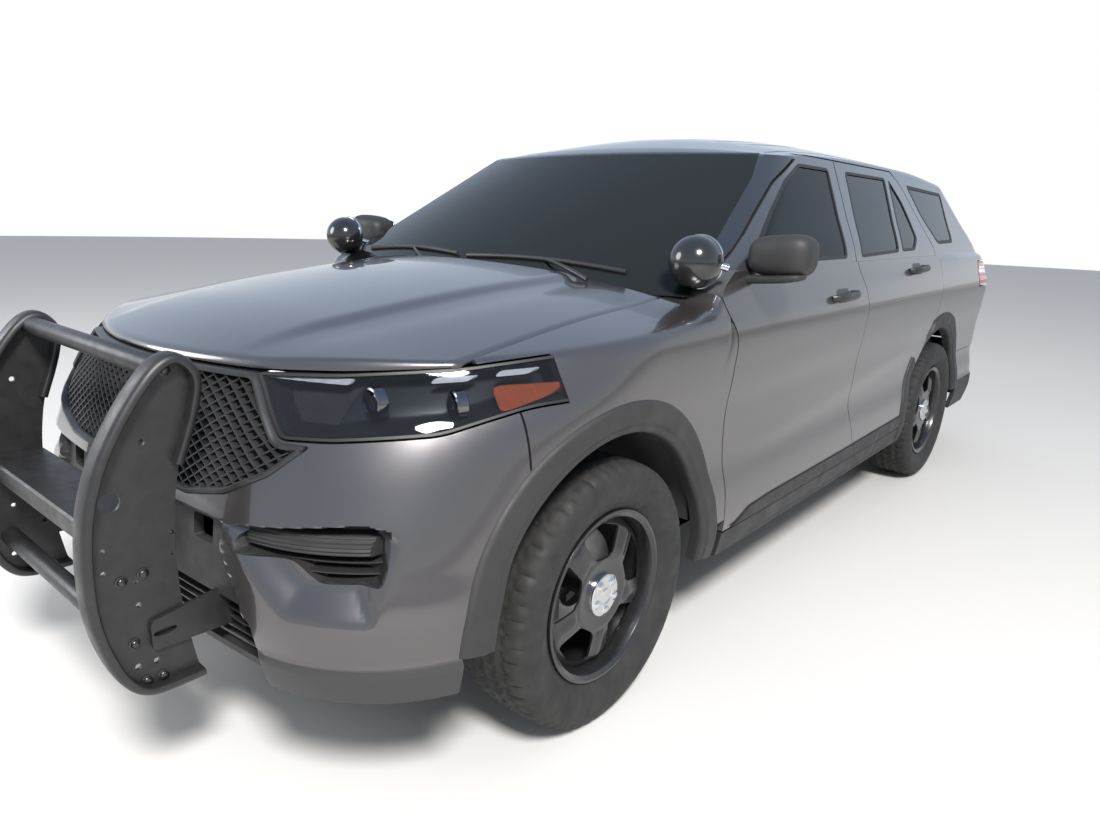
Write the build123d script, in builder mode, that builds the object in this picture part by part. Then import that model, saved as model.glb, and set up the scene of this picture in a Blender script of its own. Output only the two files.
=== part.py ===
"""Police patrol car: a mid-size three-row sport utility wagon with a push bar and pillar spotlights.

Millimetres. The front faces -Y, the driver's side is +X, the tyres stand on z = 0 and x = 0 is the
plane of symmetry. Stations along the car are written from the front axle, rearwards positive.
"""
import os
from math import cos, pi, radians, sin, tan

from build123d import *

os.makedirs("parts", exist_ok=True)

# Whole car
PUSH_BAR_REACH = 240
FRONT_OVERHANG = 870
WHEELBASE = 3025
REAR_OVERHANG = 1154
LENGTH_ALL = PUSH_BAR_REACH + FRONT_OVERHANG + WHEELBASE + REAR_OVERHANG
FRONT_AXLE = PUSH_BAR_REACH + FRONT_OVERHANG - LENGTH_ALL / 2
TAIL = WHEELBASE + REAR_OVERHANG
WHEEL_X = 851
TYRE_RADIUS = 381
HUB_HEIGHT = TYRE_RADIUS

# Gaps and walls
PANEL_GAP = 6
LID_GAP = 10
GLASS_FIT = 1
FRONT_WALL = 30
DOOR_WALL = 110
FRAME_WALL = 45
GLASS_WALL = 6
BEVEL = 0.35
OUT_X = 1080
IN_X = 560

# Lower body, one row a level:
# height, half width, nose, nose arc end x, its y, corner x, its y, side start y, tail shortfall
BODY_LEVELS = (
    (200, 925, -790, 480, -765, 820, -615, -400, 94),
    (300, 962, -830, 520, -803, 865, -640, -390, 34),
    (430, 984, -862, 545, -836, 893, -655, -380, 0),
    (520, 979, -870, 560, -845, 890, -660, -360, 0),
    (640, 963, -868, 560, -840, 885, -625, -330, 0),
    (800, 972, -845, 530, -806, 868, -560, -220, 14),
    (930, 990, -812, 495, -758, 835, -510, -60, 29),
    (1040, 998, -782, 445, -705, 790, -430, 100, 35),
    (1130, 976, -760, 430, -672, 765, -395, 130, 62),
    (1240, 945, -740, 415, -640, 735, -365, 160, 139),
)
TAIL_CORNER = 265
TAIL_BOW = 12
SIDE_TAPER = 18
ARC_MID = 1 - cos(pi / 4)

# Glasshouse, one row a level:
# height, half width, front middle y, pillar x, pillar y, rear pillar x, rear pillar y, rear middle y
GREEN_LEVELS = (
    (1150, 962, 255, 877, 412, 850, 4040, 4112),
    (1240, 945, 408, 845, 565, 822, 3965, 4038),
    (1430, 850, 735, 775, 888, 748, 3805, 3880),
    (1645, 737, 1105, 695, 1253, 668, 3632, 3702),
    (1800, 658, 1372, 638, 1517, 600, 3510, 3580),
)
PILLAR_SHARE = 0.72
PILLAR_BOW = 70
PILLAR_DEPTH = 180
GREEN_TAPER = 45

# Hood crown, one row a station: y, height on the centre line, height at the hood's edge
HOOD_CROWN = (
    (-1000, 955, 880),
    (-790, 1042, 975),
    (-600, 1098, 1036),
    (-400, 1134, 1064),
    (0, 1188, 1120),
    (430, 1232, 1162),
    (450, 1236, 1168),
    (530, 1264, 1256),
)
HOOD_HALF = 800
# Roof crown, one row a station: y, height on the centre line, height at the roof's edge
ROOF_CROWN = (
    (900, 1582, 1560),
    (1105, 1645, 1604),
    (1300, 1692, 1632),
    (1550, 1732, 1650),
    (2100, 1765, 1658),
    (2900, 1752, 1650),
    (3750, 1686, 1600),
)
ROOF_EDGE = 720

# Side-view outlines, y from the front axle and height
DOOR_FOOT = 392
DOOR_HEAD = 1644
FRONT_LINE = ((605, DOOR_FOOT), (611, 542), (568, 787), (560, 1043), (482, 1180))
PILLAR_LINE = ((597, 1240), (711, 1295), (840, 1365), (985, 1445), (1147, 1532), (1440, DOOR_HEAD))
MIDDLE_LINE = ((1818, DOOR_HEAD), (1668, 1240), (1722, 1120), (1722, 640), (1805, DOOR_FOOT))
REAR_LINE = ((2618, DOOR_HEAD), (2720, 1590), (2806, 1433), (2846, 1348), (2900, 1262), (2885, 1120),
             (2850, 950), (2850, 880), (2600, 560), (2510, DOOR_FOOT))
FRONT_GLASS = ((1400, 1608), (1215, 1540), (1026, 1440), (812, 1320), (745, 1280), (752, 1256),
               (1578, 1256), (1716, 1608))
REAR_GLASS = ((1918, 1608), (1748, 1256), (2273, 1268), (2480, 1608))
VENT_GLASS = ((2535, 1608), (2330, 1270), (2534, 1272), (2640, 1327), (2645, 1410), (2622, 1504))
QUARTER_GLASS = ((2820, 1590), (2880, 1440), (3000, 1296), (3318, 1300), (3490, 1572))
ARCH_INNER = 462
ARCH_OUTER = 555
ARCH_PROUD = 8
SILL_FOOT = 300
BUMPER_LINE = -335

# Front-view outlines, x and height
GRILLE = ((450, 1026), (580, 897), (652, 893), (592, 827), (484, 770), (341, 740))
LAMP = ((452, 1028), (582, 903), (681, 905), (846, 920), (930, 966), (1010, 975), (1010, 1092), (806, 1050),
        (620, 1034))
LAMP_REAR = -214
VENT = ((532, 690), (578, 719), (715, 734), (801, 729), (827, 703), (844, 653), (842, 617), (800, 611),
        (721, 608), (660, 650), (536, 655))
INTAKE = ((480, 512), (587, 505), (600, 425), (560, 372))
WINDSHIELD = ((862, 1206), (842, 1255), (809, 1325), (768, 1438), (730, 1543), (680, 1628))
REAR_SCREEN = ((596, 1290), (556, 1585))
GATE_HALF = 645
GATE_FRONT = 3575
GATE_FOOT = 660


def plan_section(height, half, nose, nose_x, nose_y, corner_x, corner_y, side_y, short, inset):
    """Closed plan outline of the lower body at one height, drawn in by the inset all round."""
    side = half - inset
    rear_side = side - SIDE_TAPER
    tail = TAIL - short - inset
    rear_x = rear_side - TAIL_CORNER
    rear_y = tail - TAIL_BOW
    bend = TAIL_CORNER * ARC_MID
    front = FRONT_AXLE
    with BuildSketch(Plane.XY.offset(height)) as section:
        with BuildLine():
            ThreePointArc((-nose_x, front + nose_y + inset), (0, front + nose + inset),
                          (nose_x, front + nose_y + inset))
            ThreePointArc((nose_x, front + nose_y + inset),
                          (corner_x - 0.7 * inset, front + corner_y + 0.7 * inset), (side, front + side_y))
            Line((side, front + side_y), (rear_side, front + rear_y - TAIL_CORNER))
            ThreePointArc((rear_side, front + rear_y - TAIL_CORNER),
                          (rear_side - bend, front + rear_y - bend), (rear_x, front + rear_y))
            ThreePointArc((rear_x, front + rear_y), (0, front + tail), (-rear_x, front + rear_y))
            ThreePointArc((-rear_x, front + rear_y), (bend - rear_side, front + rear_y - bend),
                          (-rear_side, front + rear_y - TAIL_CORNER))
            Line((-rear_side, front + rear_y - TAIL_CORNER), (-side, front + side_y))
            ThreePointArc((-side, front + side_y),
                          (0.7 * inset - corner_x, front + corner_y + 0.7 * inset),
                          (-nose_x, front + nose_y + inset))
        make_face()
    return section.sketch


def green_section(height, half, front_mid, pillar_x, pillar_y, rear_x, rear_y, rear_mid, inset):
    """Closed plan outline of the glasshouse at one height, drawn in by the inset all round."""
    front = FRONT_AXLE
    side = half - inset
    rear_side = side - GREEN_TAPER
    ahead = front + inset
    behind = front - inset
    fore_x = pillar_x - inset
    aft_x = rear_x - inset
    mid_x = fore_x + PILLAR_SHARE * (side - fore_x)
    aft_mid = aft_x + PILLAR_SHARE * (rear_side - aft_x)
    with BuildSketch(Plane.XY.offset(height)) as section:
        with BuildLine():
            ThreePointArc((-fore_x, ahead + pillar_y), (0, ahead + front_mid), (fore_x, ahead + pillar_y))
            ThreePointArc((fore_x, ahead + pillar_y), (mid_x, ahead + pillar_y + PILLAR_BOW),
                          (side, ahead + pillar_y + PILLAR_DEPTH))
            Line((side, ahead + pillar_y + PILLAR_DEPTH), (rear_side, behind + rear_y - PILLAR_DEPTH))
            ThreePointArc((rear_side, behind + rear_y - PILLAR_DEPTH),
                          (aft_mid, behind + rear_y - PILLAR_BOW), (aft_x, behind + rear_y))
            ThreePointArc((aft_x, behind + rear_y), (0, behind + rear_mid), (-aft_x, behind + rear_y))
            ThreePointArc((-aft_x, behind + rear_y), (-aft_mid, behind + rear_y - PILLAR_BOW),
                          (-rear_side, behind + rear_y - PILLAR_DEPTH))
            Line((-rear_side, behind + rear_y - PILLAR_DEPTH), (-side, ahead + pillar_y + PILLAR_DEPTH))
            ThreePointArc((-side, ahead + pillar_y + PILLAR_DEPTH), (-mid_x, ahead + pillar_y + PILLAR_BOW),
                          (-fore_x, ahead + pillar_y))
        make_face()
    return section.sketch


def crown_cutter(rows, edge, drop, reach):
    """Everything above a crowned panel, lowered by the drop: arcs across, straight from row to row."""
    half = OUT_X
    with BuildPart() as cutter:
        for station, middle, side in rows:
            level = side - (middle - side) * ((half / edge) ** 2 - 1) - drop
            with BuildSketch(Plane.XZ.offset(-FRONT_AXLE - station)):
                with BuildLine():
                    ThreePointArc((-half, level), (0, middle - drop), (half, level))
                    Polyline((half, level), (half, reach), (-half, reach), (-half, level))
                make_face()
        loft(ruled=True)
    return cutter.part


def side_prism(points, near, far):
    """A side-view outline carried across the car from x = near to x = far."""
    with BuildPart() as prism:
        with BuildSketch(Plane.YZ.offset(near)):
            with BuildLine():
                Polyline(*[(FRONT_AXLE + y, z) for y, z in points], close=True)
            make_face()
        extrude(amount=far - near)
    return prism.part


def front_prism(points, near, far):
    """A front-view outline carried along the car from y = near to y = far, from the front axle."""
    with BuildPart() as prism:
        with BuildSketch(Plane.XZ.offset(-FRONT_AXLE - near)):
            with BuildLine():
                Polyline(*points, close=True)
            make_face()
        extrude(amount=near - far)
    return prism.part


def block(x0, x1, y0, y1, z0, z1):
    """A box between two corners, y from the front axle."""
    with BuildPart() as solid:
        with BuildSketch(Plane.XY.offset(z0)):
            with Locations(((x0 + x1) / 2, FRONT_AXLE + (y0 + y1) / 2)):
                Rectangle(x1 - x0, y1 - y0)
        extrude(amount=z1 - z0)
    return solid.part


def cross_rod(x0, x1, y, z, radius):
    """A round bar along X."""
    with BuildPart() as rod:
        with BuildSketch(Plane.YZ.offset(x0)):
            with Locations((FRONT_AXLE + y, z)):
                Circle(radius)
        extrude(amount=x1 - x0)
    return rod.part


def rod(start, end, radius):
    """A round bar between two points, y from the front axle."""
    a = Vector(start[0], FRONT_AXLE + start[1], start[2])
    b = Vector(end[0], FRONT_AXLE + end[1], end[2])
    with BuildPart() as bar:
        with BuildSketch(Plane(origin=a, z_dir=b - a)):
            Circle(radius)
        extrude(amount=(b - a).length)
    return bar.part


def mirrored(points):
    """A left half front-view outline closed by its mirror image, top first."""
    return list(points) + [(-x, z) for x, z in reversed(points) if x > 0]


def half_width(height):
    """Half width of the outer skin at a height, from the two level tables."""
    rows = [row[:2] for row in BODY_LEVELS] + [row[:2] for row in GREEN_LEVELS[2:]]
    for (low, wide), (high, narrow) in zip(rows, rows[1:]):
        if height <= high:
            return wide + (narrow - wide) * (height - low) / (high - low)
    return rows[-1][1]


def door_region(front_points, rear_points, front_gap, rear_gap):
    """The space of a door: upright leading faces, and trailing faces that lean inwards and forwards."""
    lead = [(y + front_gap, z) for y, z in front_points]
    with BuildPart() as region:
        for station in (IN_X, OUT_X):
            trail = [(y - rear_gap + BEVEL * (station - half_width(z)), z) for y, z in rear_points]
            with BuildSketch(Plane.YZ.offset(station)):
                with BuildLine():
                    Polyline(*[(FRONT_AXLE + y, z) for y, z in lead + trail], close=True)
                make_face()
        loft(ruled=True)
    return region.part


def shrink(points, amount):
    """The outline drawn inwards by an amount."""
    with BuildSketch() as shape:
        with BuildLine():
            Polyline(*points, close=True)
        make_face()
    inner = offset(shape.sketch, amount=-amount, kind=Kind.INTERSECTION)
    wire = inner.faces()[0].outer_wire()
    return [(v.X, v.Y) for v in [edge.position_at(0) for edge in wire.order_edges()]]


# Envelopes that the panels are cut from
def lower_body(inset):
    with BuildPart() as body:
        for row in BODY_LEVELS:
            add(plan_section(*row, inset))
        loft(ruled=True)
        add(crown_cutter(HOOD_CROWN, HOOD_HALF, max(inset, 0), HOOD_CROWN[-1][1] + 200), mode=Mode.SUBTRACT)
    return body.part


def glasshouse(inset):
    with BuildPart() as house:
        for row in GREEN_LEVELS:
            add(green_section(*row, inset))
        loft(ruled=True)
        add(crown_cutter(ROOF_CROWN, ROOF_EDGE, max(inset, 0), ROOF_CROWN[4][1] + 200), mode=Mode.SUBTRACT)
    return house.part


BELT = 1240
BODY_OUT = lower_body(0)
BODY_FRONT_IN = lower_body(FRONT_WALL)
BODY_DOOR_IN = lower_body(DOOR_WALL)
GREEN_OUT = glasshouse(0)
GREEN_IN = glasshouse(FRAME_WALL)
GREEN_GLASS_IN = glasshouse(GLASS_WALL)
LOWER_SHELL = BODY_OUT - BODY_DOOR_IN
FRONT_SHELL = BODY_OUT - BODY_FRONT_IN
PILLAR_SHELL = GREEN_OUT - GREEN_IN
UPPER_SHELL = PILLAR_SHELL - block(-OUT_X, OUT_X, 0, TAIL, 0, BELT)
GLASS_SHELL = GREEN_OUT - GREEN_GLASS_IN
WALL_SHELL = LOWER_SHELL + UPPER_SHELL


def save(part, name):
    """Label and write one node."""
    part.label = name
    export_step(part, "parts/" + name + ".step")
    print(name, len(part.solids()), round(part.volume / 1e3), "cm3")


def largest(part):
    """The biggest solid of a piece, without the crumbs that a cut leaves."""
    return Part() + max(part.solids(), key=lambda solid: solid.volume)


def save_pair(part, name):
    """A left and a right piece on one body: one node with separate solids."""
    save(Compound(children=list(part.solids()) + list(mirror(part, about=Plane.YZ).solids())), name)


def save_both(part, name):
    """A left and a right node, each on its own body."""
    save(part, name + "_left")
    save(mirror(part, about=Plane.YZ), name + "_right")


def arch(radius, station):
    """The round space of a wheel arch, from inboard of the tyre out past the skin."""
    return cross_rod(ARCH_DEPTH, OUT_X, station, HUB_HEIGHT, radius)


# Zones that share out the front end
ARCH_DEPTH = 600
HOOD_LIP = ((HOOD_HALF, 1400), (HOOD_HALF, 1056), (620, 1044), (452, 1038), (0, 1036))
HOOD_REAR_MID = 335
HOOD_REAR_SIDE = 468
LIP_LOW = [(x + PANEL_GAP, z - LID_GAP) for x, z in HOOD_LIP]


def hood_zone(lip, side, rear_grow):
    """The hood's space: above the lip line seen from the front, ahead of an arc across the cowl."""
    zone = front_prism(mirrored(lip), -1200, HOOD_REAR_SIDE + 120)
    with BuildPart() as cut:
        with BuildSketch(Plane.XY.offset(900)):
            with BuildLine():
                y_side = FRONT_AXLE + HOOD_REAR_SIDE + rear_grow
                ThreePointArc((-side, y_side), (0, FRONT_AXLE + HOOD_REAR_MID + rear_grow), (side, y_side))
                Polyline((side, y_side), (side, y_side + 300), (-side, y_side + 300), (-side, y_side))
            make_face()
        extrude(amount=600)
    return zone - cut.part


HOOD_ZONE = hood_zone(HOOD_LIP, HOOD_HALF, 0)
HOOD_CLEAR = hood_zone(LIP_LOW, HOOD_HALF + PANEL_GAP, PANEL_GAP)
LAMP_ZONE = front_prism(LAMP, -1200, LAMP_REAR) - HOOD_CLEAR
LAMP_CLEAR = front_prism(shrink(LAMP, -PANEL_GAP), -1200, LAMP_REAR + PANEL_GAP) - HOOD_ZONE
GRILLE_ZONE = front_prism(mirrored(GRILLE), -1200, -300)
VENT_ZONE = front_prism(VENT, -1200, -300)
INTAKE_ZONE = front_prism(mirrored(INTAKE), -1200, -300)
ARCH_CLEAR = arch(ARCH_OUTER + GLASS_FIT, 0) + arch(ARCH_OUTER + GLASS_FIT, WHEELBASE)

# Hood
hood = FRONT_SHELL & HOOD_ZONE
save(hood, "hood")

# Headlamps
headlamps = (LOWER_SHELL & LAMP_ZONE) - arch(ARCH_OUTER + GLASS_FIT, 0)
save_pair(headlamps, "headlamps")

# Front bumper, with the grille, vent and intake openings cut through
CHIN = 434
BUMPER_HEEL = -500
bumper_zone = block(-OUT_X, OUT_X, -1200, BUMPER_LINE - PANEL_GAP / 2, CHIN, 1400)
bumper_zone = bumper_zone + block(-OUT_X, OUT_X, -1200, BUMPER_HEEL, 200, CHIN)
both_lamps = LAMP_CLEAR + mirror(LAMP_CLEAR, about=Plane.YZ)
both_vents = VENT_ZONE + mirror(VENT_ZONE, about=Plane.YZ)
both_arches = ARCH_CLEAR + mirror(ARCH_CLEAR, about=Plane.YZ)
arch_band = both_arches - block(-OUT_X, OUT_X, -1200, WHEELBASE + 1200, 0, CHIN)
front_bumper = (FRONT_SHELL & bumper_zone) - HOOD_CLEAR - both_lamps - GRILLE_ZONE - both_vents
front_bumper = front_bumper - INTAKE_ZONE - arch_band
front_bumper = front_bumper - block(-OUT_X, OUT_X, -1200, 0, 1026, 1400)
save(front_bumper, "front_bumper")

# Fenders
FENDER_TOP = 1190
FENDER = [(BUMPER_LINE + PANEL_GAP / 2, CHIN), (BUMPER_LINE + PANEL_GAP / 2, 1000), (-500, 1000),
          (-500, FENDER_TOP), (FRONT_LINE[-1][0] - PANEL_GAP, FENDER_TOP)]
FENDER = FENDER + [(y - PANEL_GAP / 2, z) for y, z in reversed(FRONT_LINE[1:])]
FENDER = FENDER + [(FRONT_LINE[0][0] - PANEL_GAP / 2, CHIN)]
fender = FRONT_SHELL & side_prism(FENDER, HOOD_HALF + PANEL_GAP, OUT_X)
fender = fender - HOOD_CLEAR - LAMP_CLEAR - ARCH_CLEAR
fender = Compound(children=[solid for solid in fender.solids() if solid.volume > 1e5])
save_pair(fender, "fenders")

# Doors
FRAME_IN = 688
DASH_IN = 826
FRONT_DOOR_ZONE = door_region(FRONT_LINE + PILLAR_LINE, MIDDLE_LINE, PANEL_GAP / 2, PANEL_GAP / 2)
MIDDLE_UP = tuple(reversed(MIDDLE_LINE))
REAR_DOOR_ZONE = door_region(MIDDLE_UP, REAR_LINE, PANEL_GAP / 2, PANEL_GAP / 2)
LEFT_WALL = WALL_SHELL & block(IN_X, OUT_X, 300, TAIL, 200, 1800)
DOOR_WALLS = LEFT_WALL - block(0, FRAME_IN, 0, TAIL, BELT, 1800) - block(0, DASH_IN, 0, 620, 800, BELT)
front_door = (DOOR_WALLS & FRONT_DOOR_ZONE) - side_prism(FRONT_GLASS, IN_X, OUT_X)
rear_door = (DOOR_WALLS & REAR_DOOR_ZONE) - side_prism(REAR_GLASS, IN_X, OUT_X)
rear_door = rear_door - side_prism(VENT_GLASS, IN_X, OUT_X) - arch(ARCH_INNER, WHEELBASE)

# Door handles stand proud of the doors
HANDLES = ((1292, 1558, 1118), (2315, 2592, 1187))
HANDLE_OUT = 1016
HANDLE_IN = 905
HANDLE_HEIGHT = 34


def handle(row):
    y0, y1, z = row
    with BuildPart() as grip:
        with BuildSketch(Plane.YZ.offset(HANDLE_IN)):
            with Locations((FRONT_AXLE + (y0 + y1) / 2, z)):
                SlotOverall(y1 - y0, HANDLE_HEIGHT)
        extrude(amount=HANDLE_OUT - HANDLE_IN)
    return grip.part


save_both(front_door + handle(HANDLES[0]), "door_front")
save_both(rear_door + handle(HANDLES[1]), "door_rear")

# Door glass, each pane let into its opening
front_pane = (GLASS_SHELL & side_prism(shrink(FRONT_GLASS, GLASS_FIT), IN_X, OUT_X))
rear_panes = (GLASS_SHELL & side_prism(shrink(REAR_GLASS, GLASS_FIT), IN_X, OUT_X))
rear_panes = rear_panes + (GLASS_SHELL & side_prism(shrink(VENT_GLASS, GLASS_FIT), IN_X, OUT_X))
save_both(front_pane, "glass_front")
save_both(rear_panes, "glass_rear")

# Liftgate and its screen
gate_zone = block(-GATE_HALF, GATE_HALF, GATE_FRONT, TAIL + 100, GATE_FOOT, 1800)
screen_cut = front_prism(mirrored(REAR_SCREEN), GATE_FRONT, TAIL + 100)
liftgate = (WALL_SHELL & gate_zone) - screen_cut
save(liftgate, "liftgate")
screen = GLASS_SHELL & front_prism(shrink(mirrored(REAR_SCREEN), GLASS_FIT), GATE_FRONT + 20, TAIL + 100)
save(screen, "liftgate_glass")
GATE_CLEAR = block(-GATE_HALF - PANEL_GAP, GATE_HALF + PANEL_GAP, GATE_FRONT - PANEL_GAP, TAIL + 200,
                   GATE_FOOT - PANEL_GAP, 1800)

# Tail lamps and rear bumper
TAIL_LAMP = (3700, 1045, 1190)
BUMPER_HEAD = GATE_FOOT - PANEL_GAP
BUMPER_START = WHEELBASE + 470
tail_lamp_zone = block(GATE_HALF + PANEL_GAP, OUT_X, TAIL_LAMP[0], TAIL + 100, TAIL_LAMP[1], TAIL_LAMP[2])
tail_lamp_clear = block(GATE_HALF, OUT_X, TAIL_LAMP[0] - 2, TAIL + 100, TAIL_LAMP[1] - 2, TAIL_LAMP[2] + 2)
save_pair(LOWER_SHELL & tail_lamp_zone, "tail_lamps")
rear_bumper = FRONT_SHELL & block(-OUT_X, OUT_X, BUMPER_START, TAIL + 100, SILL_FOOT, BUMPER_HEAD)
rear_bumper = rear_bumper - both_arches
save(rear_bumper, "rear_bumper")

# Windshield, roof and cowl
shield_cut = front_prism(mirrored(WINDSHIELD[::-1]), 0, 1500)
windshield = GLASS_SHELL & front_prism(shrink(mirrored(WINDSHIELD[::-1]), GLASS_FIT), 0, 1500)
save(windshield, "windshield")
ROOF_HALF = 650
ROOF_FOOT = WINDSHIELD[-1][1]
roof = PILLAR_SHELL & block(-ROOF_HALF, ROOF_HALF, 900, GATE_FRONT - PANEL_GAP, ROOF_FOOT, 1800)
RIB_X = (190, 330, 470)
RIB_WIDE = 60
RIB_DEEP = 5
rib_skin = GREEN_OUT & crown_cutter(ROOF_CROWN, ROOF_EDGE, RIB_DEEP, 1900)
rib_strips = [block(x - RIB_WIDE / 2, x + RIB_WIDE / 2, 1500, 3300, ROOF_FOOT, 1800) & rib_skin
              for rib in RIB_X for x in (-rib, rib)]
roof = roof - rib_strips
save(roof, "roof")

# The windshield pillar's line slopes, so its gap along the car is wider than the gap across the line
PILLAR_SHIFT = 16


# Body sides: quarter panel, sill, pillars and roof rail
def door_clear(front_points, rear_points):
    """The door's space grown by the panel gap on its leading, head and trailing edges."""
    post_foot = FRONT_LINE[-1][1]
    lead = [(y - (PILLAR_SHIFT if post_foot <= z < DOOR_HEAD else PANEL_GAP), z) for y, z in front_points]
    grown = [(y, z + PANEL_GAP if z == DOOR_HEAD else z) for y, z in lead]
    grown = [(y, z - PANEL_GAP if z == DOOR_FOOT else z) for y, z in grown]
    trail = [(y + (PANEL_GAP if z > BELT else PANEL_GAP / 2), z + PANEL_GAP if z == DOOR_HEAD else z)
             for y, z in rear_points]
    trail = [(y, z - PANEL_GAP if z == DOOR_FOOT else z) for y, z in trail]
    return door_region(grown, trail, PANEL_GAP / 2, 0)


DOORS_CLEAR = door_clear(FRONT_LINE + PILLAR_LINE, MIDDLE_LINE) + door_clear(MIDDLE_UP, REAR_LINE)
DOORS_CLEAR = DOORS_CLEAR - block(0, FRAME_IN - PANEL_GAP, 0, TAIL, BELT, 1800)
SILL_HEAD = DOOR_FOOT - PANEL_GAP
SILL_START = 418
PILLAR_FOOT = FENDER_TOP + PANEL_GAP
RAIL = (656, 682, 1290, 1570, 1640)
POST_WALL = 40
POST_INSET = FRAME_WALL + 8
HINGE_POST = (770, 800, 480, 550)
MIDDLE_POST = (770, 820, 1650, 1800)
POST_SHELF = (770, 900, 1680, 1790)
SHELF_HEIGHT = 42
POST_FOOT = BELT + 8
HIGH_POST = ((1650, POST_FOOT), (1800, POST_FOOT), (1900, RAIL[4]), (1760, RAIL[4]))
roof_space = block(0, ROOF_HALF + PANEL_GAP, 0, GATE_FRONT, ROOF_FOOT, 1800)
sill = LEFT_WALL & block(IN_X, OUT_X, SILL_START, WHEELBASE, SILL_FOOT, SILL_HEAD)
sill = sill - arch(ARCH_INNER, 0) - arch(ARCH_INNER, WHEELBASE)
save_pair(sill, "sills")

ROOF_SIDE = [(380, PILLAR_FOOT), (PILLAR_LINE[0][0], PILLAR_FOOT)] + list(PILLAR_LINE)
ROOF_SIDE = ROOF_SIDE + [(MIDDLE_LINE[0][0], DOOR_HEAD), (MIDDLE_LINE[0][0], 1800), (380, 1800)]
rail = GREEN_OUT & block(RAIL[0], RAIL[1], RAIL[2], GATE_FRONT - PANEL_GAP, RAIL[3], RAIL[4])
roof_rail = PILLAR_SHELL & side_prism(ROOF_SIDE, RAIL[0] - 60, OUT_X)
roof_rail = roof_rail - DOORS_CLEAR - shield_cut - roof_space
roof_rail = roof_rail + rail
save_pair(roof_rail, "roof_rails")

quarter = LEFT_WALL & block(IN_X, OUT_X, MIDDLE_LINE[0][0], TAIL, SILL_HEAD, 1800)
quarter = quarter - DOORS_CLEAR - ARCH_CLEAR - GATE_CLEAR - tail_lamp_clear - roof_space - rail
quarter = quarter - block(IN_X, OUT_X, BUMPER_START - 300, TAIL + 100, 0, GATE_FOOT)
quarter = quarter - block(IN_X, OUT_X, 0, REAR_LINE[3][0], 0, BELT)
quarter = quarter - side_prism(QUARTER_GLASS, IN_X, OUT_X)
save_pair(largest(quarter), "quarter_panels")

POST_SPACE = glasshouse(POST_INSET)
high_post = (POST_SPACE - glasshouse(POST_INSET + POST_WALL)) & side_prism(HIGH_POST, 0, OUT_X)
high_post = high_post + (block(*POST_SHELF, POST_FOOT, POST_FOOT + SHELF_HEIGHT) & POST_SPACE) - rail
hinge_post = block(*HINGE_POST, SILL_FOOT, PILLAR_FOOT)
middle_post = block(*MIDDLE_POST, SILL_FOOT, POST_FOOT)
posts = [piece.solids()[0] for piece in (largest(high_post), hinge_post, middle_post)]
save_pair(Compound(children=posts), "pillars")

# Quarter glass
quarter_pane = GLASS_SHELL & side_prism(shrink(QUARTER_GLASS, GLASS_FIT), IN_X, OUT_X)
save_pair(quarter_pane, "quarter_glass")

# Wheel arch trims
ring_front = arch(ARCH_OUTER, 0) - arch(ARCH_INNER, 0)
ring_rear = arch(ARCH_OUTER, WHEELBASE) - arch(ARCH_INNER, WHEELBASE)
TRIM_SHELL = lower_body(-ARCH_PROUD) - BODY_FRONT_IN
trims = TRIM_SHELL & (ring_front + ring_rear)
trims = trims - block(IN_X, OUT_X, -1200, TAIL, 0, CHIN)
trims = trims - block(IN_X, OUT_X, WHEELBASE + 300, TAIL, 0, SILL_HEAD + 60)
trims = trims - DOORS_CLEAR
trims = Compound(children=[solid for solid in trims.solids() if solid.volume > 1e6])
save_pair(trims, "arch_trims")

# Floor, firewall, frame rails and wheelhouses: flat panels that meet face to face
FLOOR = 318
FLOOR_WALL = 8
FLOOR_HALF = 769
FIREWALL = 470
PLATE = 14
SCUTTLE = 1112
TUNNEL_HALF = 180
TUNNEL_HEAD = 530
TUNNEL_IN = TUNNEL_HALF - PLATE
REAR_FLOOR = 608
REAR_HALF = 600
REAR_END = TAIL - 140
KICK_UP = 2560
KICK_WALL = 12
HOUSE_RADIUS = 474
HOUSE_WALL = 6
FRONT_HOUSE = (490, 925)
REAR_HOUSE = (600, 842)
HOUSE_FOOT = HUB_HEIGHT + 80
HOUSE_SIDE_FOOT = 500
RAIL_X = (378, 462)
RAIL_Z = (420, 530)
REAR_RAIL = (480, 560, 500)
CRASH_BEAM = (470, -790, -722, 420, 540)
REAR_BEAM = (620, TAIL - 180, TAIL - 120, 450)
SUPPORT = (-650, -610, 425, 985)
APRON = (462, 490, 470, 420, 975)
TOWER = (490, 650, 110)


def both(part):
    """The piece and its mirror image."""
    return part + mirror(part, about=Plane.YZ)


def sides(*pieces):
    """The pieces and their mirror images, as separate solids."""
    solids = [solid for piece in pieces for solid in piece.solids()]
    return solids + [solid for piece in pieces for solid in mirror(piece, about=Plane.YZ).solids()]


def wheelhouse(station, inner, outer):
    """Upper half of a round liner over a wheel."""
    liner = cross_rod(inner, outer, station, HUB_HEIGHT, HOUSE_RADIUS)
    liner = liner - cross_rod(inner, outer, station, HUB_HEIGHT, HOUSE_RADIUS - HOUSE_WALL)
    return liner - block(0, OUT_X, station - 600, station + 600, -200, HOUSE_FOOT)


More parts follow.
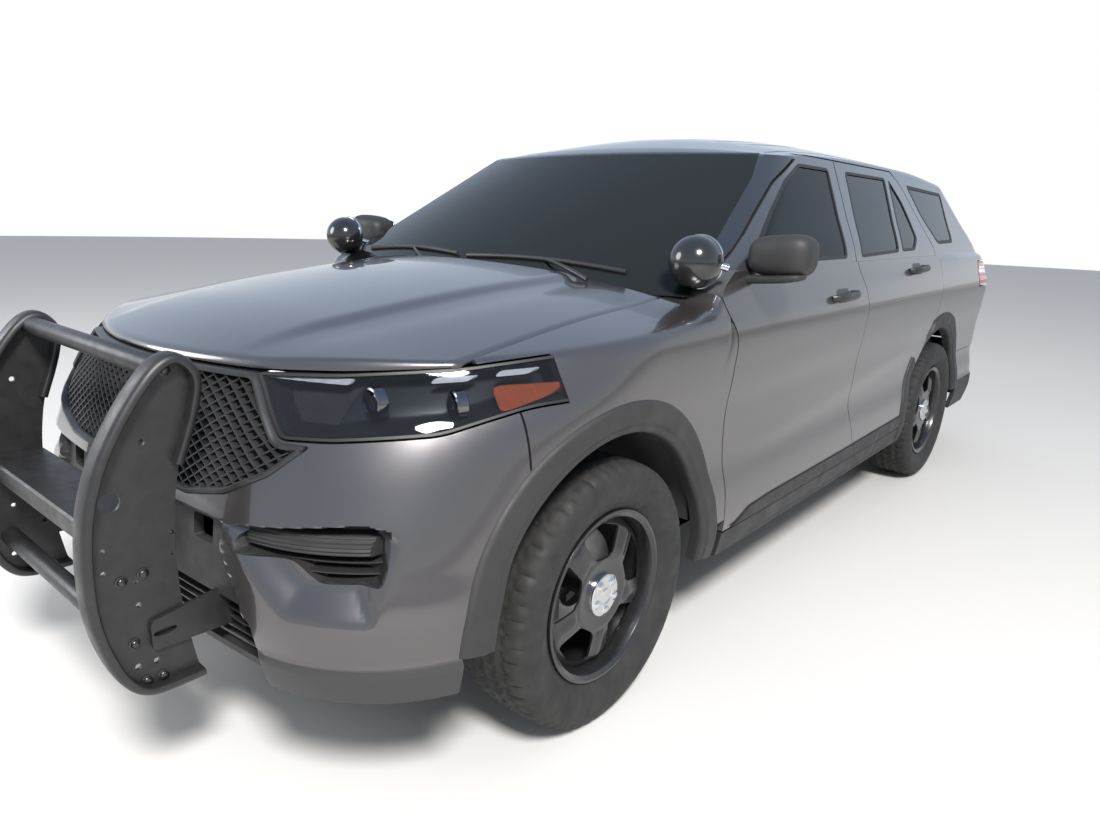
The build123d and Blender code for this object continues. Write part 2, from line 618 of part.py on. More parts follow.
floor_front = FIREWALL + PLATE
floor_plate = block(TUNNEL_HALF, FLOOR_HALF, floor_front, KICK_UP, FLOOR, FLOOR + FLOOR_WALL)
tunnel_wall = block(TUNNEL_IN, TUNNEL_HALF, floor_front, KICK_UP, FLOOR, TUNNEL_HEAD)
tunnel_roof = block(-TUNNEL_IN, TUNNEL_IN, floor_front, KICK_UP, TUNNEL_HEAD - PLATE, TUNNEL_HEAD)
kick_back = KICK_UP + KICK_WALL
rear_foot = REAR_FLOOR - PLATE
kick_side = block(TUNNEL_IN, REAR_HALF, KICK_UP, kick_back, FLOOR, rear_foot)
kick_middle = block(-TUNNEL_IN, TUNNEL_IN, KICK_UP, kick_back, TUNNEL_HEAD - PLATE, rear_foot)
rear_plate = block(-REAR_HALF, REAR_HALF, KICK_UP, REAR_END, rear_foot, REAR_FLOOR)
floor_solids = sides(floor_plate, tunnel_wall, kick_side)
floor_solids = floor_solids + [tunnel_roof.solids()[0], kick_middle.solids()[0], rear_plate.solids()[0]]
save(Compound(children=floor_solids), "floor_panels")
wall_side = block(TUNNEL_IN, FLOOR_HALF, FIREWALL, FIREWALL + PLATE, FLOOR, SCUTTLE)
wall_middle = block(-TUNNEL_IN, TUNNEL_IN, FIREWALL, FIREWALL + PLATE, TUNNEL_HEAD - PLATE, SCUTTLE)
save(Compound(children=sides(wall_side) + [wall_middle.solids()[0]]), "firewall")
front_rail = block(*RAIL_X, CRASH_BEAM[2], FIREWALL, *RAIL_Z)
rear_rail = block(REAR_RAIL[0], REAR_RAIL[1], kick_back, REAR_BEAM[1], REAR_RAIL[2], rear_foot)
apron = block(APRON[0], APRON[1], -APRON[2], APRON[2], APRON[3], APRON[4])
tower = block(TOWER[0], TOWER[1], -TOWER[2], TOWER[2], HUB_HEIGHT + HOUSE_RADIUS, APRON[4])
crash_beam = block(-CRASH_BEAM[0], CRASH_BEAM[0], *CRASH_BEAM[1:])
rear_beam = block(-REAR_BEAM[0], REAR_BEAM[0], REAR_BEAM[1], REAR_BEAM[2], REAR_BEAM[3], rear_foot)
support = block(-RAIL_X[0], RAIL_X[0], *SUPPORT)
rail_solids = sides(front_rail, rear_rail, apron, tower)
rail_solids = rail_solids + [crash_beam.solids()[0], rear_beam.solids()[0], support.solids()[0]]
save(Compound(children=rail_solids), "frame_rails")
liner_in = HOUSE_RADIUS - HOUSE_WALL
house_side = cross_rod(REAR_HOUSE[0], REAR_HOUSE[0] + KICK_WALL, WHEELBASE, HUB_HEIGHT, liner_in)
house_side = house_side - block(0, OUT_X, WHEELBASE - 600, WHEELBASE + 600, -200, HOUSE_SIDE_FOOT)
houses = sides(wheelhouse(0, *FRONT_HOUSE), wheelhouse(WHEELBASE, *REAR_HOUSE) + house_side)
save(Compound(children=houses), "wheelhouses")

# Cowl between hood, fenders and windshield
COWL = (770, 350, 510)
save(block(-COWL[0], COWL[0], COWL[1], COWL[2], SCUTTLE, SCUTTLE + FLOOR_WALL), "cowl")

# Engine, a plain block at its place
ENGINE = (300, -420, 270, 300, 930)
save(block(-ENGINE[0], ENGINE[0], *ENGINE[1:]), "engine_block")

# Gearbox, shaft and final drive
GEARBOX = (275, 900, 385, 118)
SHAFT = (890, 2900, 375, 365, 34)
FINAL_DRIVE = (120, 2890, 3150, 290, 450)
driveline = rod((0, GEARBOX[0], GEARBOX[2]), (0, GEARBOX[1], GEARBOX[2]), GEARBOX[3])
driveline = driveline + rod((0, SHAFT[0], SHAFT[2]), (0, SHAFT[1], SHAFT[3]), SHAFT[4])
driveline = driveline + block(-FINAL_DRIVE[0], FINAL_DRIVE[0], *FINAL_DRIVE[1:])
save(driveline, "driveline")

# Exhaust and tank under the floor
PIPE_Z = 216
# Exhaust runs, one row a stretch: start x, start y, end x, end y, radius
PIPE_RUNS = ((250, 480, 250, 2800, 28), (250, 2790, 560, 3500, 28), (560, 3490, 560, TAIL - 60, 30))
MUFFLER = (310, 1250, 1750, PIPE_Z - 32, 300)
TANK = (-760, -330, 1950, 2480, 205, 312)
exhaust = block(-MUFFLER[0], MUFFLER[0], *MUFFLER[1:])
for x0, y0, x1, y1, radius in PIPE_RUNS:
    exhaust = exhaust + both(rod((x0, y0, PIPE_Z), (x1, y1, PIPE_Z), radius))
save(exhaust, "exhaust")
save(block(*TANK), "fuel_tank")

# Suspension: hub carriers, then subframes with rods from a table
KINGPIN_X = 790
KNUCKLE_X = 738
SPINDLE_RADIUS = 26
SPINDLE_END = 893
CARRIER_RADIUS = 60
CARRIER_END = 800
DISC_X = (812, 838)
DISC_RADIUS = 165
DISC_ROOM = 6
CALIPER = (770, 880, -195, -118, 48)
CALIPER_LUG = (770, 800, -130, -40, 40)
KINGPIN = (290, 330, 16)
ARM_Z = 268


def hub_carrier(station):
    """Upright, spindle and brake caliper of one left wheel."""
    piece = cross_rod(KNUCKLE_X, CARRIER_END, station, HUB_HEIGHT, CARRIER_RADIUS)
    piece = piece + cross_rod(KNUCKLE_X, SPINDLE_END, station, HUB_HEIGHT, SPINDLE_RADIUS)
    for x0, x1, y0, y1, half in (CALIPER_LUG, CALIPER):
        piece = piece + block(x0, x1, station + y0, station + y1, HUB_HEIGHT - half, HUB_HEIGHT + half)
    slot = cross_rod(DISC_X[0] - DISC_ROOM, DISC_X[1] + DISC_ROOM, station, HUB_HEIGHT, DISC_RADIUS + DISC_ROOM)
    slot = slot - cross_rod(DISC_X[0] - DISC_ROOM, DISC_X[1] + DISC_ROOM, station, HUB_HEIGHT, CARRIER_RADIUS)
    return piece - slot


knuckle = hub_carrier(0) + rod((KINGPIN_X, 0, KINGPIN[0]), (KINGPIN_X, 0, KINGPIN[1]), KINGPIN[2])
save_both(knuckle, "knuckle_front")
# Rods, one row a rod: start x, y, z, end x, y, z, radius, all on the left
FRONT_RODS = ((380, -110, 250, KINGPIN_X, 0, ARM_Z, 18), (380, 130, 250, KINGPIN_X, 0, ARM_Z, 18),
              (630, 0, 790, 655, 0, 500, 26), (655, 0, 510, 650, -40, ARM_Z, 14))
FRONT_FRAME = (400, 160, 215, 290)
REAR_RODS = ((410, 2880, 290, 758, WHEELBASE, 345, 18), (410, 3160, 290, 758, WHEELBASE, 345, 18),
             (520, WHEELBASE, 290, 520, WHEELBASE, 499, 45))
REAR_FRAME = (420, 2860, 3180, 24, 250, 330)
SPRING_PAN = (470, 570, 2915, 3135, 280, 300)
front_links = block(-FRONT_FRAME[0], FRONT_FRAME[0], -FRONT_FRAME[1], FRONT_FRAME[1], *FRONT_FRAME[2:])
for x0, y0, z0, x1, y1, z1, radius in FRONT_RODS:
    front_links = front_links + both(rod((x0, y0, z0), (x1, y1, z1), radius))
save(front_links, "front_suspension")
frame_x, frame_y0, frame_y1, bar, frame_z0, frame_z1 = REAR_FRAME
rear_links = block(-frame_x, frame_x, frame_y0, frame_y1, frame_z0, frame_z1)
rear_links = rear_links - block(bar - frame_x, frame_x - bar, frame_y0 + bar, frame_y1 - bar, frame_z0, frame_z1)
for x0, y0, z0, x1, y1, z1, radius in REAR_RODS:
    rear_links = rear_links + both(rod((x0, y0, z0), (x1, y1, z1), radius))
rear_links = rear_links + both(block(*SPRING_PAN) + hub_carrier(WHEELBASE))
save(rear_links, "rear_suspension")

# Wheels: one section of rim and one of tyre, turned about the hub
RIM_LIP = 246
RIM_SEAT = 229
RIM_WELL = 216
RIM_WALL = 8
RIM_OUT = 106
SPOKE_IN = 62
SPOKE_OUT = 84
HUB_BORE = SPINDLE_RADIUS + 6
TYRE_HALF = 127.5
TYRE_BEAD = RIM_OUT - 18
TYRE_BULGE = 305
TYRE_SHOULDER = 362
TREAD_HALF = 72
WINDOW = ((118, 17), (196, 20))
WINDOWS = 5
CAP_RADIUS = 62
CAP_FACE = 90
CAP_SUNK = 10
CAP_EDGE = 4
CAP_NUTS = 43
NUT_RADIUS = 12
NUT_PROUD = 5


def turned(points):
    """A section (distance along X, radius) turned about the X axis."""
    with BuildPart() as ring:
        with BuildSketch(Plane.XY):
            with BuildLine():
                Polyline(*points, close=True)
            make_face()
        revolve(axis=Axis.X)
    return ring.part


def rim():
    """Rim barrel, pressed disc with five windows, hub shell and brake disc."""
    well = RIM_WELL
    barrel = turned([(-RIM_OUT, RIM_SEAT), (-RIM_OUT, RIM_LIP), (-RIM_OUT + 8, RIM_LIP), (-RIM_OUT + 12, RIM_SEAT),
                     (-60, RIM_SEAT), (-40, well + RIM_WALL), (20, well + RIM_WALL), (40, RIM_SEAT),
                     (RIM_OUT - 12, RIM_SEAT), (RIM_OUT - 8, RIM_LIP), (RIM_OUT, RIM_LIP), (RIM_OUT, RIM_SEAT),
                     (RIM_OUT - 20, RIM_SEAT - RIM_WALL), (44, RIM_SEAT - RIM_WALL), (24, well), (-44, well),
                     (-64, RIM_SEAT - RIM_WALL), (-RIM_OUT + 10, RIM_SEAT - RIM_WALL)])
    disc = turned([(SPOKE_IN, HUB_BORE), (SPOKE_IN - 12, 210), (SPOKE_IN - 30, RIM_SEAT - 2),
                   (SPOKE_IN - 12, RIM_SEAT - 2), (SPOKE_OUT - 8, 204), (SPOKE_OUT, 110), (SPOKE_OUT - 6, HUB_BORE)])
    for index in range(WINDOWS):
        turn = 90 + index * 360 / WINDOWS
        with BuildPart() as window:
            with BuildSketch(Plane.YZ.offset(SPOKE_IN - 40)):
                with BuildLine():
                    corners = [(r * cos(radians(turn + a)), r * sin(radians(turn + a)))
                               for r, a in ((WINDOW[0][0], -WINDOW[0][1]), (WINDOW[1][0], -WINDOW[1][1]),
                                            (WINDOW[1][0], WINDOW[1][1]), (WINDOW[0][0], WINDOW[0][1]))]
                    Polyline(*corners, close=True)
                make_face()
            extrude(amount=100)
            fillet(window.edges().filter_by(Axis.X), 14)
        disc = disc - window.part
    hub_shell = turned([(DISC_X[1] - WHEEL_X, HUB_BORE), (DISC_X[1] - WHEEL_X, 82), (SPOKE_IN + 4, 76),
                        (SPOKE_IN + 4, HUB_BORE)])
    brake = turned([(DISC_X[0] - WHEEL_X, HUB_BORE + 35), (DISC_X[0] - WHEEL_X, DISC_RADIUS),
                    (DISC_X[1] - WHEEL_X, DISC_RADIUS), (DISC_X[1] - WHEEL_X, HUB_BORE + 35)])
    with BuildPart() as cap:
        with BuildSketch(Plane.YZ.offset(SPOKE_OUT - CAP_SUNK)):
            Circle(CAP_RADIUS)
        extrude(amount=CAP_FACE - SPOKE_OUT + CAP_SUNK)
        chamfer(cap.faces().sort_by(Axis.X)[-1].edges(), CAP_EDGE)
        with BuildSketch(Plane.YZ.offset(CAP_FACE - CAP_EDGE)):
            with PolarLocations(CAP_NUTS, WINDOWS, start_angle=90 + 180 / WINDOWS):
                Circle(NUT_RADIUS)
        extrude(amount=CAP_EDGE + NUT_PROUD)
    return barrel + disc + hub_shell + brake + cap.part


def tyre():
    """Tyre section with leaning walls, shoulders and tread; nothing shows inside, so it is solid."""
    half = [(TYRE_BEAD, RIM_SEAT + GLASS_FIT), (TYRE_HALF, TYRE_BULGE), (TYRE_HALF - 12, TYRE_SHOULDER),
            (TREAD_HALF, TYRE_RADIUS)]
    return turned([(-x, r) for x, r in half] + list(reversed(half)))


RIM = rim()
TYRE = tyre()
for place, station in (("front", 0), ("rear", WHEELBASE)):
    spot = Location((WHEEL_X, FRONT_AXLE + station, HUB_HEIGHT))
    save_both(RIM.moved(spot), "rim_" + place)
    save_both(TYRE.moved(spot), "tyre_" + place)

# Mirrors on the front doors
MIRROR = (1004, 1135, 655, 745, 1242, 1360)
MIRROR_EDGE = 24
mirror_head = block(*MIRROR)
mirror_head = chamfer(mirror_head.edges(), MIRROR_EDGE)
mirror_arm = block(900, 1060, 672, 728, 1206, 1244)
mirror_piece = (mirror_head + mirror_arm) - WALL_SHELL - GLASS_SHELL
save_both(largest(mirror_piece), "mirror")

# Grille: a diamond lattice in a frame that follows the nose
GRILLE_PITCH = 84
GRILLE_BAR = 11
GRILLE_ANGLE = 33
GRILLE_COUNT = 14
GRILLE_MID = 885
GRILLE_DEEP = 22
GRILLE_SET = 16
GRILLE_FRAME = 18
# Grille surface: heights of its two levels, then one row a station: x, y at the foot, y at the head
GRILLE_LEVELS = (730, 1040)
GRILLE_BOW = ((0, -855, -782), (160, -852, -773), (320, -844, -744), (450, -832, -702), (560, -810, -643),
              (660, -752, -560))


DEEP = (12, 42, 50)
BODY_DEEP = [lower_body(depth) for depth in DEEP]


def open_shell(low, high, outline):
    """The skin's band between two depths of the list, within a front-view outline."""
    space = front_prism(outline, -1200, -300)
    return (space & BODY_DEEP[low]) - BODY_DEEP[high]


def nose_band(low, high):
    """A faceted band behind the nose, between two depths."""
    with BuildPart() as band:
        for level, column in ((GRILLE_LEVELS[0], 1), (GRILLE_LEVELS[1], 2)):
            front = [(row[0], FRONT_AXLE + row[column]) for row in GRILLE_BOW]
            front = [(-x, y) for x, y in reversed(front[1:])] + front
            with BuildSketch(Plane.XY.offset(level)):
                with BuildLine():
                    Polyline(*[(x, y + low) for x, y in front], *[(x, y + high) for x, y in reversed(front)],
                             close=True)
                make_face()
        loft(ruled=True)
    return band.part


grille_outline = mirrored(GRILLE)
grille_inner = shrink(grille_outline, GRILLE_FRAME)
with BuildPart() as lattice:
    with BuildSketch(Plane.XZ.offset(1200 - FRONT_AXLE)):
        for lean in (-GRILLE_ANGLE, GRILLE_ANGLE):
            for step in range(-GRILLE_COUNT, GRILLE_COUNT + 1):
                with Locations((step * GRILLE_PITCH, GRILLE_MID)):
                    Rectangle(1500, GRILLE_BAR, rotation=lean)
        with BuildLine():
            Polyline(*shrink(grille_outline, GRILLE_FRAME / 2), close=True)
        make_face(mode=Mode.INTERSECT)
    extrude(amount=-900)
grille_frame = front_prism(shrink(grille_outline, GLASS_FIT), -1200, -300)
grille_frame = grille_frame - front_prism(grille_inner, -1200, -300)
grille_band = nose_band(GRILLE_SET, GRILLE_SET + GRILLE_DEEP)
grille = (grille_frame + lattice.part) & grille_band
grille = grille - both_lamps - HOOD_CLEAR
save(grille, "grille")

# Vent and intake louvres in the bumper
VENT_RIBS = (640, 662, 684, 706)
VENT_RIB = 9
INTAKE_SLATS = (400, 440, 480)
INTAKE_SLAT = 12
vent_fit = shrink(VENT, GLASS_FIT)
vent_back = open_shell(1, 2, vent_fit)
vent_space = open_shell(0, 2, vent_fit)
vent = vent_back
for z in VENT_RIBS:
    vent = vent + (vent_space & block(0, OUT_X, -1200, 0, z - VENT_RIB / 2, z + VENT_RIB / 2))
intake_fit = shrink(mirrored(INTAKE), GLASS_FIT)
intake_space = open_shell(0, 1, intake_fit)
intake = open_shell(1, 2, intake_fit) - both(block(410, 440, -1200, 0, 424, 506))
for z in INTAKE_SLATS:
    intake = intake + (intake_space & block(-OUT_X, OUT_X, -1200, 0, z - INTAKE_SLAT / 2, z + INTAKE_SLAT / 2))
intake = intake - both(block(405, 445, -1200, 0, 420, 510))
inserts = both(vent) + intake
save(inserts, "bumper_inserts")

# Push bar: two rimmed uprights, tubes, shelf and the brackets to the crash beam
UPRIGHT = ((-873, 1097), (-930, 1078), (-997, 997), (-1058, 896), (-1095, 790), (-1108, 688), (-1110, 567),
           (-1093, 471), (-1060, 376), (-1008, 321), (-864, 323), (-876, 336), (-901, 495), (-906, 585),
           (-904, 716), (-883, 843), (-841, 952), (-822, 1041))
UPRIGHT_X = (382, 448)
PLATE_X = (411, 419)
RIM_BAND = 9
RIM_END = 843
TUBE_RADIUS = 24
TOP_TUBE = (-900, 1052)
LOW_TUBE = (-1017, 458)
SHELF = (-1048, -905, 695, 701)
SHELF_LIP = 6
SHELF_FOOT = 645
BRACKET = (12, -985, 430, 500)
BOLT_HOLES = ((-960, 905), (-1000, 640), (-960, 560), (-930, 480), (-1000, 400), (-950, 380))
BOLT_HOLE = 7
upright_plate = side_prism(UPRIGHT, PLATE_X[0], PLATE_X[1])
for y, z in BOLT_HOLES:
    upright_plate = upright_plate - cross_rod(PLATE_X[0], PLATE_X[1], y, z, BOLT_HOLE)
upright_rim = side_prism(UPRIGHT, UPRIGHT_X[0], UPRIGHT_X[1])
upright_rim = upright_rim - side_prism(shrink(UPRIGHT, RIM_BAND), UPRIGHT_X[0], UPRIGHT_X[1])
upright_rim = upright_rim - block(0, OUT_X, -935, -700, 335, RIM_END)
upright = upright_plate + upright_rim
save_pair(upright, "push_bar_uprights")
crossbars = cross_rod(-PLATE_X[0], PLATE_X[0], *TOP_TUBE, TUBE_RADIUS)
crossbars = crossbars + cross_rod(-PLATE_X[0], PLATE_X[0], *LOW_TUBE, TUBE_RADIUS)
shelf = block(-PLATE_X[0], PLATE_X[0], *SHELF)
shelf = shelf + block(-PLATE_X[0], PLATE_X[0], SHELF[0], SHELF[0] + SHELF_LIP, SHELF_FOOT, SHELF[3])
shelf = shelf + block(-PLATE_X[0], PLATE_X[0], SHELF[1] - SHELF_LIP, SHELF[1], SHELF_FOOT, SHELF[3])
bracket = block(PLATE_X[1], PLATE_X[1] + BRACKET[0], BRACKET[1], CRASH_BEAM[1], BRACKET[2], BRACKET[3])
brackets = both(bracket)
crossbars = crossbars + shelf + brackets
save(crossbars, "push_bar_crossbars")

# Pillar spotlights
LIGHT = (875, 400, 1268)
LIGHT_SHELL = ((0, 0), (80, 0), (80, 22), (72, 58), (54, 84), (30, 101), (0, 108))
with BuildPart() as lamp_shell:
    with BuildSketch(Plane.XY):
        with BuildLine():
            Polyline(*LIGHT_SHELL, close=True)
        make_face()
    revolve(axis=Axis.Y)
light = lamp_shell.part.moved(Location((LIGHT[0], FRONT_AXLE + LIGHT[1], LIGHT[2])))
light = light + rod((LIGHT[0], LIGHT[1] + 70, LIGHT[2] - 40), (838, 560, 1238), 12)
save_pair(largest(light - GREEN_OUT), "spotlights")

# Cabin: dashboard with column shroud, steering wheel, seats
COLUMN_TILT = 25
WHEEL_SPOT = (390, 1010, 985)
STEER_RADIUS = 182
STEER_GRIP = 15
# Hub: radius, set back, depth. Spokes: width at the sides, width below, set back, depth
STEER_HUB = (66, 30, 36)
STEER_SPOKE = (34, 46, 8, 12)
axis_dir = Vector(0, cos(radians(COLUMN_TILT)), sin(radians(COLUMN_TILT)))
hub_at = Vector(WHEEL_SPOT[0], FRONT_AXLE + WHEEL_SPOT[1], WHEEL_SPOT[2])
DASH = (765, 560, 780, 760, 1110)
DASH_MIDDLE = (300, 560, 820, 700, 1060)
COLUMN_START = 700
COLUMN_RADIUS = 42
COLUMN_GAP = 36
CONSOLE = (120, 815, 1560, 715)
dash = block(-DASH[0], DASH[0], *DASH[1:]) + block(-DASH_MIDDLE[0], DASH_MIDDLE[0], *DASH_MIDDLE[1:])
column_end = (WHEEL_SPOT[0], WHEEL_SPOT[1] - COLUMN_GAP * axis_dir.Y, WHEEL_SPOT[2] - COLUMN_GAP * axis_dir.Z)
column_fall = (WHEEL_SPOT[1] - COLUMN_START) * tan(radians(COLUMN_TILT))
column_start = (WHEEL_SPOT[0], COLUMN_START, WHEEL_SPOT[2] - column_fall)
dash = dash + rod(column_start, column_end, COLUMN_RADIUS)
dash = dash + block(-CONSOLE[0], CONSOLE[0], CONSOLE[1], CONSOLE[2], TUNNEL_HEAD, CONSOLE[3])
save(dash, "dashboard")
grip_section = [(STEER_GRIP * cos(radians(45 * k)), STEER_RADIUS + STEER_GRIP * sin(radians(45 * k)))
                for k in range(8)]
steer_ring = turned(grip_section)
with BuildPart() as steering:
    wheel_plane = Plane(origin=hub_at, x_dir=(1, 0, 0), z_dir=axis_dir)
    add(steer_ring.moved(Plane(origin=hub_at, x_dir=axis_dir, z_dir=(1, 0, 0)).location))
    with BuildSketch(wheel_plane.offset(-STEER_HUB[1])):
        Circle(STEER_HUB[0])
    extrude(amount=STEER_HUB[2])
    with BuildSketch(wheel_plane.offset(-STEER_SPOKE[2])):
        with Locations((-STEER_RADIUS / 2, 0), (STEER_RADIUS / 2, 0)):
            Rectangle(STEER_RADIUS, STEER_SPOKE[0])
        with Locations((0, -STEER_RADIUS / 2)):
            Rectangle(STEER_SPOKE[1], STEER_RADIUS)
    extrude(amount=STEER_SPOKE[3])
save(steering.part, "steering_wheel")

SEAT = ((0, 575), (0, 690), (60, 716), (440, 690), (620, 1190), (690, 1215), (745, 1185), (585, 660), (540, 575))
HEADREST = ((640, 1195), (650, 1245), (640, 1400), (700, 1425), (752, 1395), (740, 1240), (720, 1195))
SEAT_HALF = 250
FRONT_SEAT_Y = 1190
BENCH_Y = 1960


def seat_row(y, x0, x1, rests):
    """Cushion, back and headrests by their side outline, on two risers."""
    row = side_prism([(y + a, z) for a, z in SEAT], x0, x1)
    for middle in rests:
        row = row + side_prism([(y + a, z) for a, z in HEADREST], middle - 120, middle + 120)
    return row + block(x0 + 60, x1 - 60, y + 60, y + 500, FLOOR + FLOOR_WALL, 576)


front_seats = seat_row(FRONT_SEAT_Y, 390 - SEAT_HALF, 390 + SEAT_HALF, (390,))
bench_half = seat_row(BENCH_Y, 190, 700, (430,)) + side_prism([(BENCH_Y + a, z) for a, z in SEAT], 0, 200)
save_pair(front_seats, "front_seats")
save(both(bench_half), "rear_bench")
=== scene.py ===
# %% [markdown]
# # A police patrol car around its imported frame
# The car is a large sport utility wagon in dark grey metallic paint, with a black push bar bolted to its
# nose. The frame gives every solid at its real size. This lesson dresses it: painted sheet metal, grained
# plastic, glass, rubber and steel. Each cell says what the piece is on the real car, how it could be made,
# and why this way was chosen.

# %% The frame and the tools
import math
import bpy
import numpy as np
from mathutils import Matrix


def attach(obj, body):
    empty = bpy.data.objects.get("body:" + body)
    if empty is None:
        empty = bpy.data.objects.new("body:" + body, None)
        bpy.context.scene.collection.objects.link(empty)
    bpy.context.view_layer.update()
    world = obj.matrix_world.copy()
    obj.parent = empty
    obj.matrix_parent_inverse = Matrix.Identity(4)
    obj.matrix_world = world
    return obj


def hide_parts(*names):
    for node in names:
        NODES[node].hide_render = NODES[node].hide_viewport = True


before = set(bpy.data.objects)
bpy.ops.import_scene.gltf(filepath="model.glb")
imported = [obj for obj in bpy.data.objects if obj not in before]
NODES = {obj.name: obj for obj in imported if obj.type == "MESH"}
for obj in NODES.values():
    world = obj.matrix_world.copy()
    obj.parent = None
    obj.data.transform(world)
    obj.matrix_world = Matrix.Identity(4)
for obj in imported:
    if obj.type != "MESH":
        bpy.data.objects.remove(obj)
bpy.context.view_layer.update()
scene = bpy.context.scene
AXLE = -1534.5           # the front axle's place along the car, millimetres
WHEELBASE = 3025
TAIL = 4179
HUB = 381                # height of the wheels' centres, and the tyres' radius


def full_turn(count):
    """Even angles once round."""
    return np.linspace(0, 2 * math.pi, count, endpoint=False)


# %% [markdown]
# ## Camera
# A photographer stands at the left front corner, a little above the hood, with a wide lens. The camera's
# place and turn were fitted to the wheels and to points that mirror each other, so they are plain numbers
# here.

# %% Camera
EYE = (2.066, -3.1275, 1.401)
YAW, PITCH, ROLL = math.radians(130.06), math.radians(-14.59), math.radians(1.88)
LENS = 25.32


def camera_axes(yaw, pitch, roll):
    """Right, up and backward directions of a camera that looks along yaw and pitch and is rolled."""
    ahead = np.array([math.cos(pitch) * math.cos(yaw), math.cos(pitch) * math.sin(yaw), math.sin(pitch)])
    right = np.cross(ahead, (0, 0, 1))
    right /= np.linalg.norm(right)
    up = np.cross(right, ahead)
    return right * math.cos(roll) + up * math.sin(roll), up * math.cos(roll) - right * math.sin(roll), -ahead


camera_data = bpy.data.cameras.new("camera")
camera_data.lens = LENS
camera_data.sensor_width = 36
camera_data.clip_end = 200
camera = bpy.data.objects.new("camera", camera_data)
scene.collection.objects.link(camera)
turn = Matrix([list(axis) for axis in camera_axes(YAW, PITCH, ROLL)]).transposed().to_4x4()
camera.matrix_world = Matrix.Translation(EYE) @ turn
scene.camera = camera
scene.view_settings.view_transform = "Standard"

# %% [markdown]
# ## Light and floor
# The car was seen under an open sky. An even world and one broad lamp, as large as a soft cloud, give the
# same reading without hard shadows. Glossy and see-through rays find a sky that is pale at the horizon and
# brighter overhead, so the paint shows its curves. The floor is plain, pale and round.

# %% World, lamps and floor


def nodes_of(owner):
    """An empty node tree of a material or a world. add makes a node from what its inputs get, by place or by
    name, and feed fills one input: with a value, or from a node or an output that is linked to it."""
    owner.use_nodes = True
    tree = owner.node_tree
    tree.nodes.clear()

    def feed(socket, value):
        if isinstance(value, bpy.types.Node):
            value = value.outputs[0]
        if isinstance(value, bpy.types.NodeSocket):
            tree.links.new(value, socket)
        else:
            socket.default_value = value

    def add(kind, *feeds, **settings):
        node = tree.nodes.new("ShaderNode" + kind)
        for place, value in enumerate(feeds):
            feed(node.inputs[place], value)
        for key, value in settings.items():
            socket = key.replace("_", " ")
            if socket in node.inputs.keys():
                feed(node.inputs[socket], value)
            else:
                setattr(node, key, value)
        return node

    return add, feed


world = bpy.data.worlds.new("sky")
scene.world = world
add, _ = nodes_of(world)
ray = add("LightPath").outputs
height = add("SeparateXYZ", add("TexCoord").outputs["Generated"])
sky = add("ValToRGB", height.outputs["Z"])
for spot, tone in zip((0.0, 0.03, 0.25, 1.0),
                      ((0.5, 0.5, 0.5), (0.92, 0.95, 0.98), (0.6, 0.71, 0.86), (0.3, 0.43, 0.68))):
    if spot in (0.0, 1.0):
        stop = sky.color_ramp.elements[0 if spot == 0.0 else -1]
        stop.position = spot
    else:
        stop = sky.color_ramp.elements.new(spot)
    stop.color = (*tone, 1)
lit = add("Background", (0.93, 0.96, 1.0, 1), 0.62)
glossy = add("Background", sky, 1.0)
seen = add("Background", (1, 1, 1, 1), 1.0)
either = add("Math", ray["Is Camera Ray"], ray["Is Transmission Ray"], operation="MAXIMUM")
add("OutputWorld", add("MixShader", either, add("MixShader", ray["Is Glossy Ray"], lit, glossy), seen))


def lamp(name, spot, aim, size, watts, tone=(1, 1, 1)):
    """A round soft lamp that faces its aim."""
    data = bpy.data.lights.new(name, "AREA")
    data.shape, data.size, data.energy, data.color = "DISK", size, watts, tone
    thing = bpy.data.objects.new(name, data)
    scene.collection.objects.link(thing)
    back = np.array(spot, float) - np.array(aim, float)
    back /= np.linalg.norm(back)
    right = np.cross((0, 0, 1), back)
    right /= np.linalg.norm(right)
    turn = Matrix([list(right), list(np.cross(back, right)), list(back)]).transposed().to_4x4()
    thing.matrix_world = Matrix.Translation(spot) @ turn


lamp("sun", (6.0, -5.5, 8.0), (0, -0.6, 0.6), 2.2, 1700, (1.0, 0.97, 0.93))
lamp("fill", (-6.0, -6.5, 4.0), (0, -1.2, 0.6), 4.0, 300)

angles = full_turn(96)
floor_mesh = bpy.data.meshes.new("floor")
floor_mesh.from_pydata([(30 * math.cos(a), 30 * math.sin(a), 0) for a in angles], [], [tuple(range(96))])
floor = bpy.data.objects.new("floor", floor_mesh)
scene.collection.objects.link(floor)
finish = bpy.data.materials.new("floor")
add, _ = nodes_of(finish)
add("OutputMaterial", add("BsdfPrincipled", Base_Color=(0.62, 0.62, 0.62, 1), Roughness=0.75))
floor_mesh.materials.append(finish)

# %% [markdown]
# ## Finishes
# Each finish is worked out from noise on the object's own coordinates, so it does not slide when a door
# opens. The paint is a metallic base with fine flakes under clear lacquer. Plastics have a moulded grain,
# the push bar a textured powder coat, and the tyres the grey bloom of rubber that has stood outdoors.

# %% Finishes
FINISH = {}


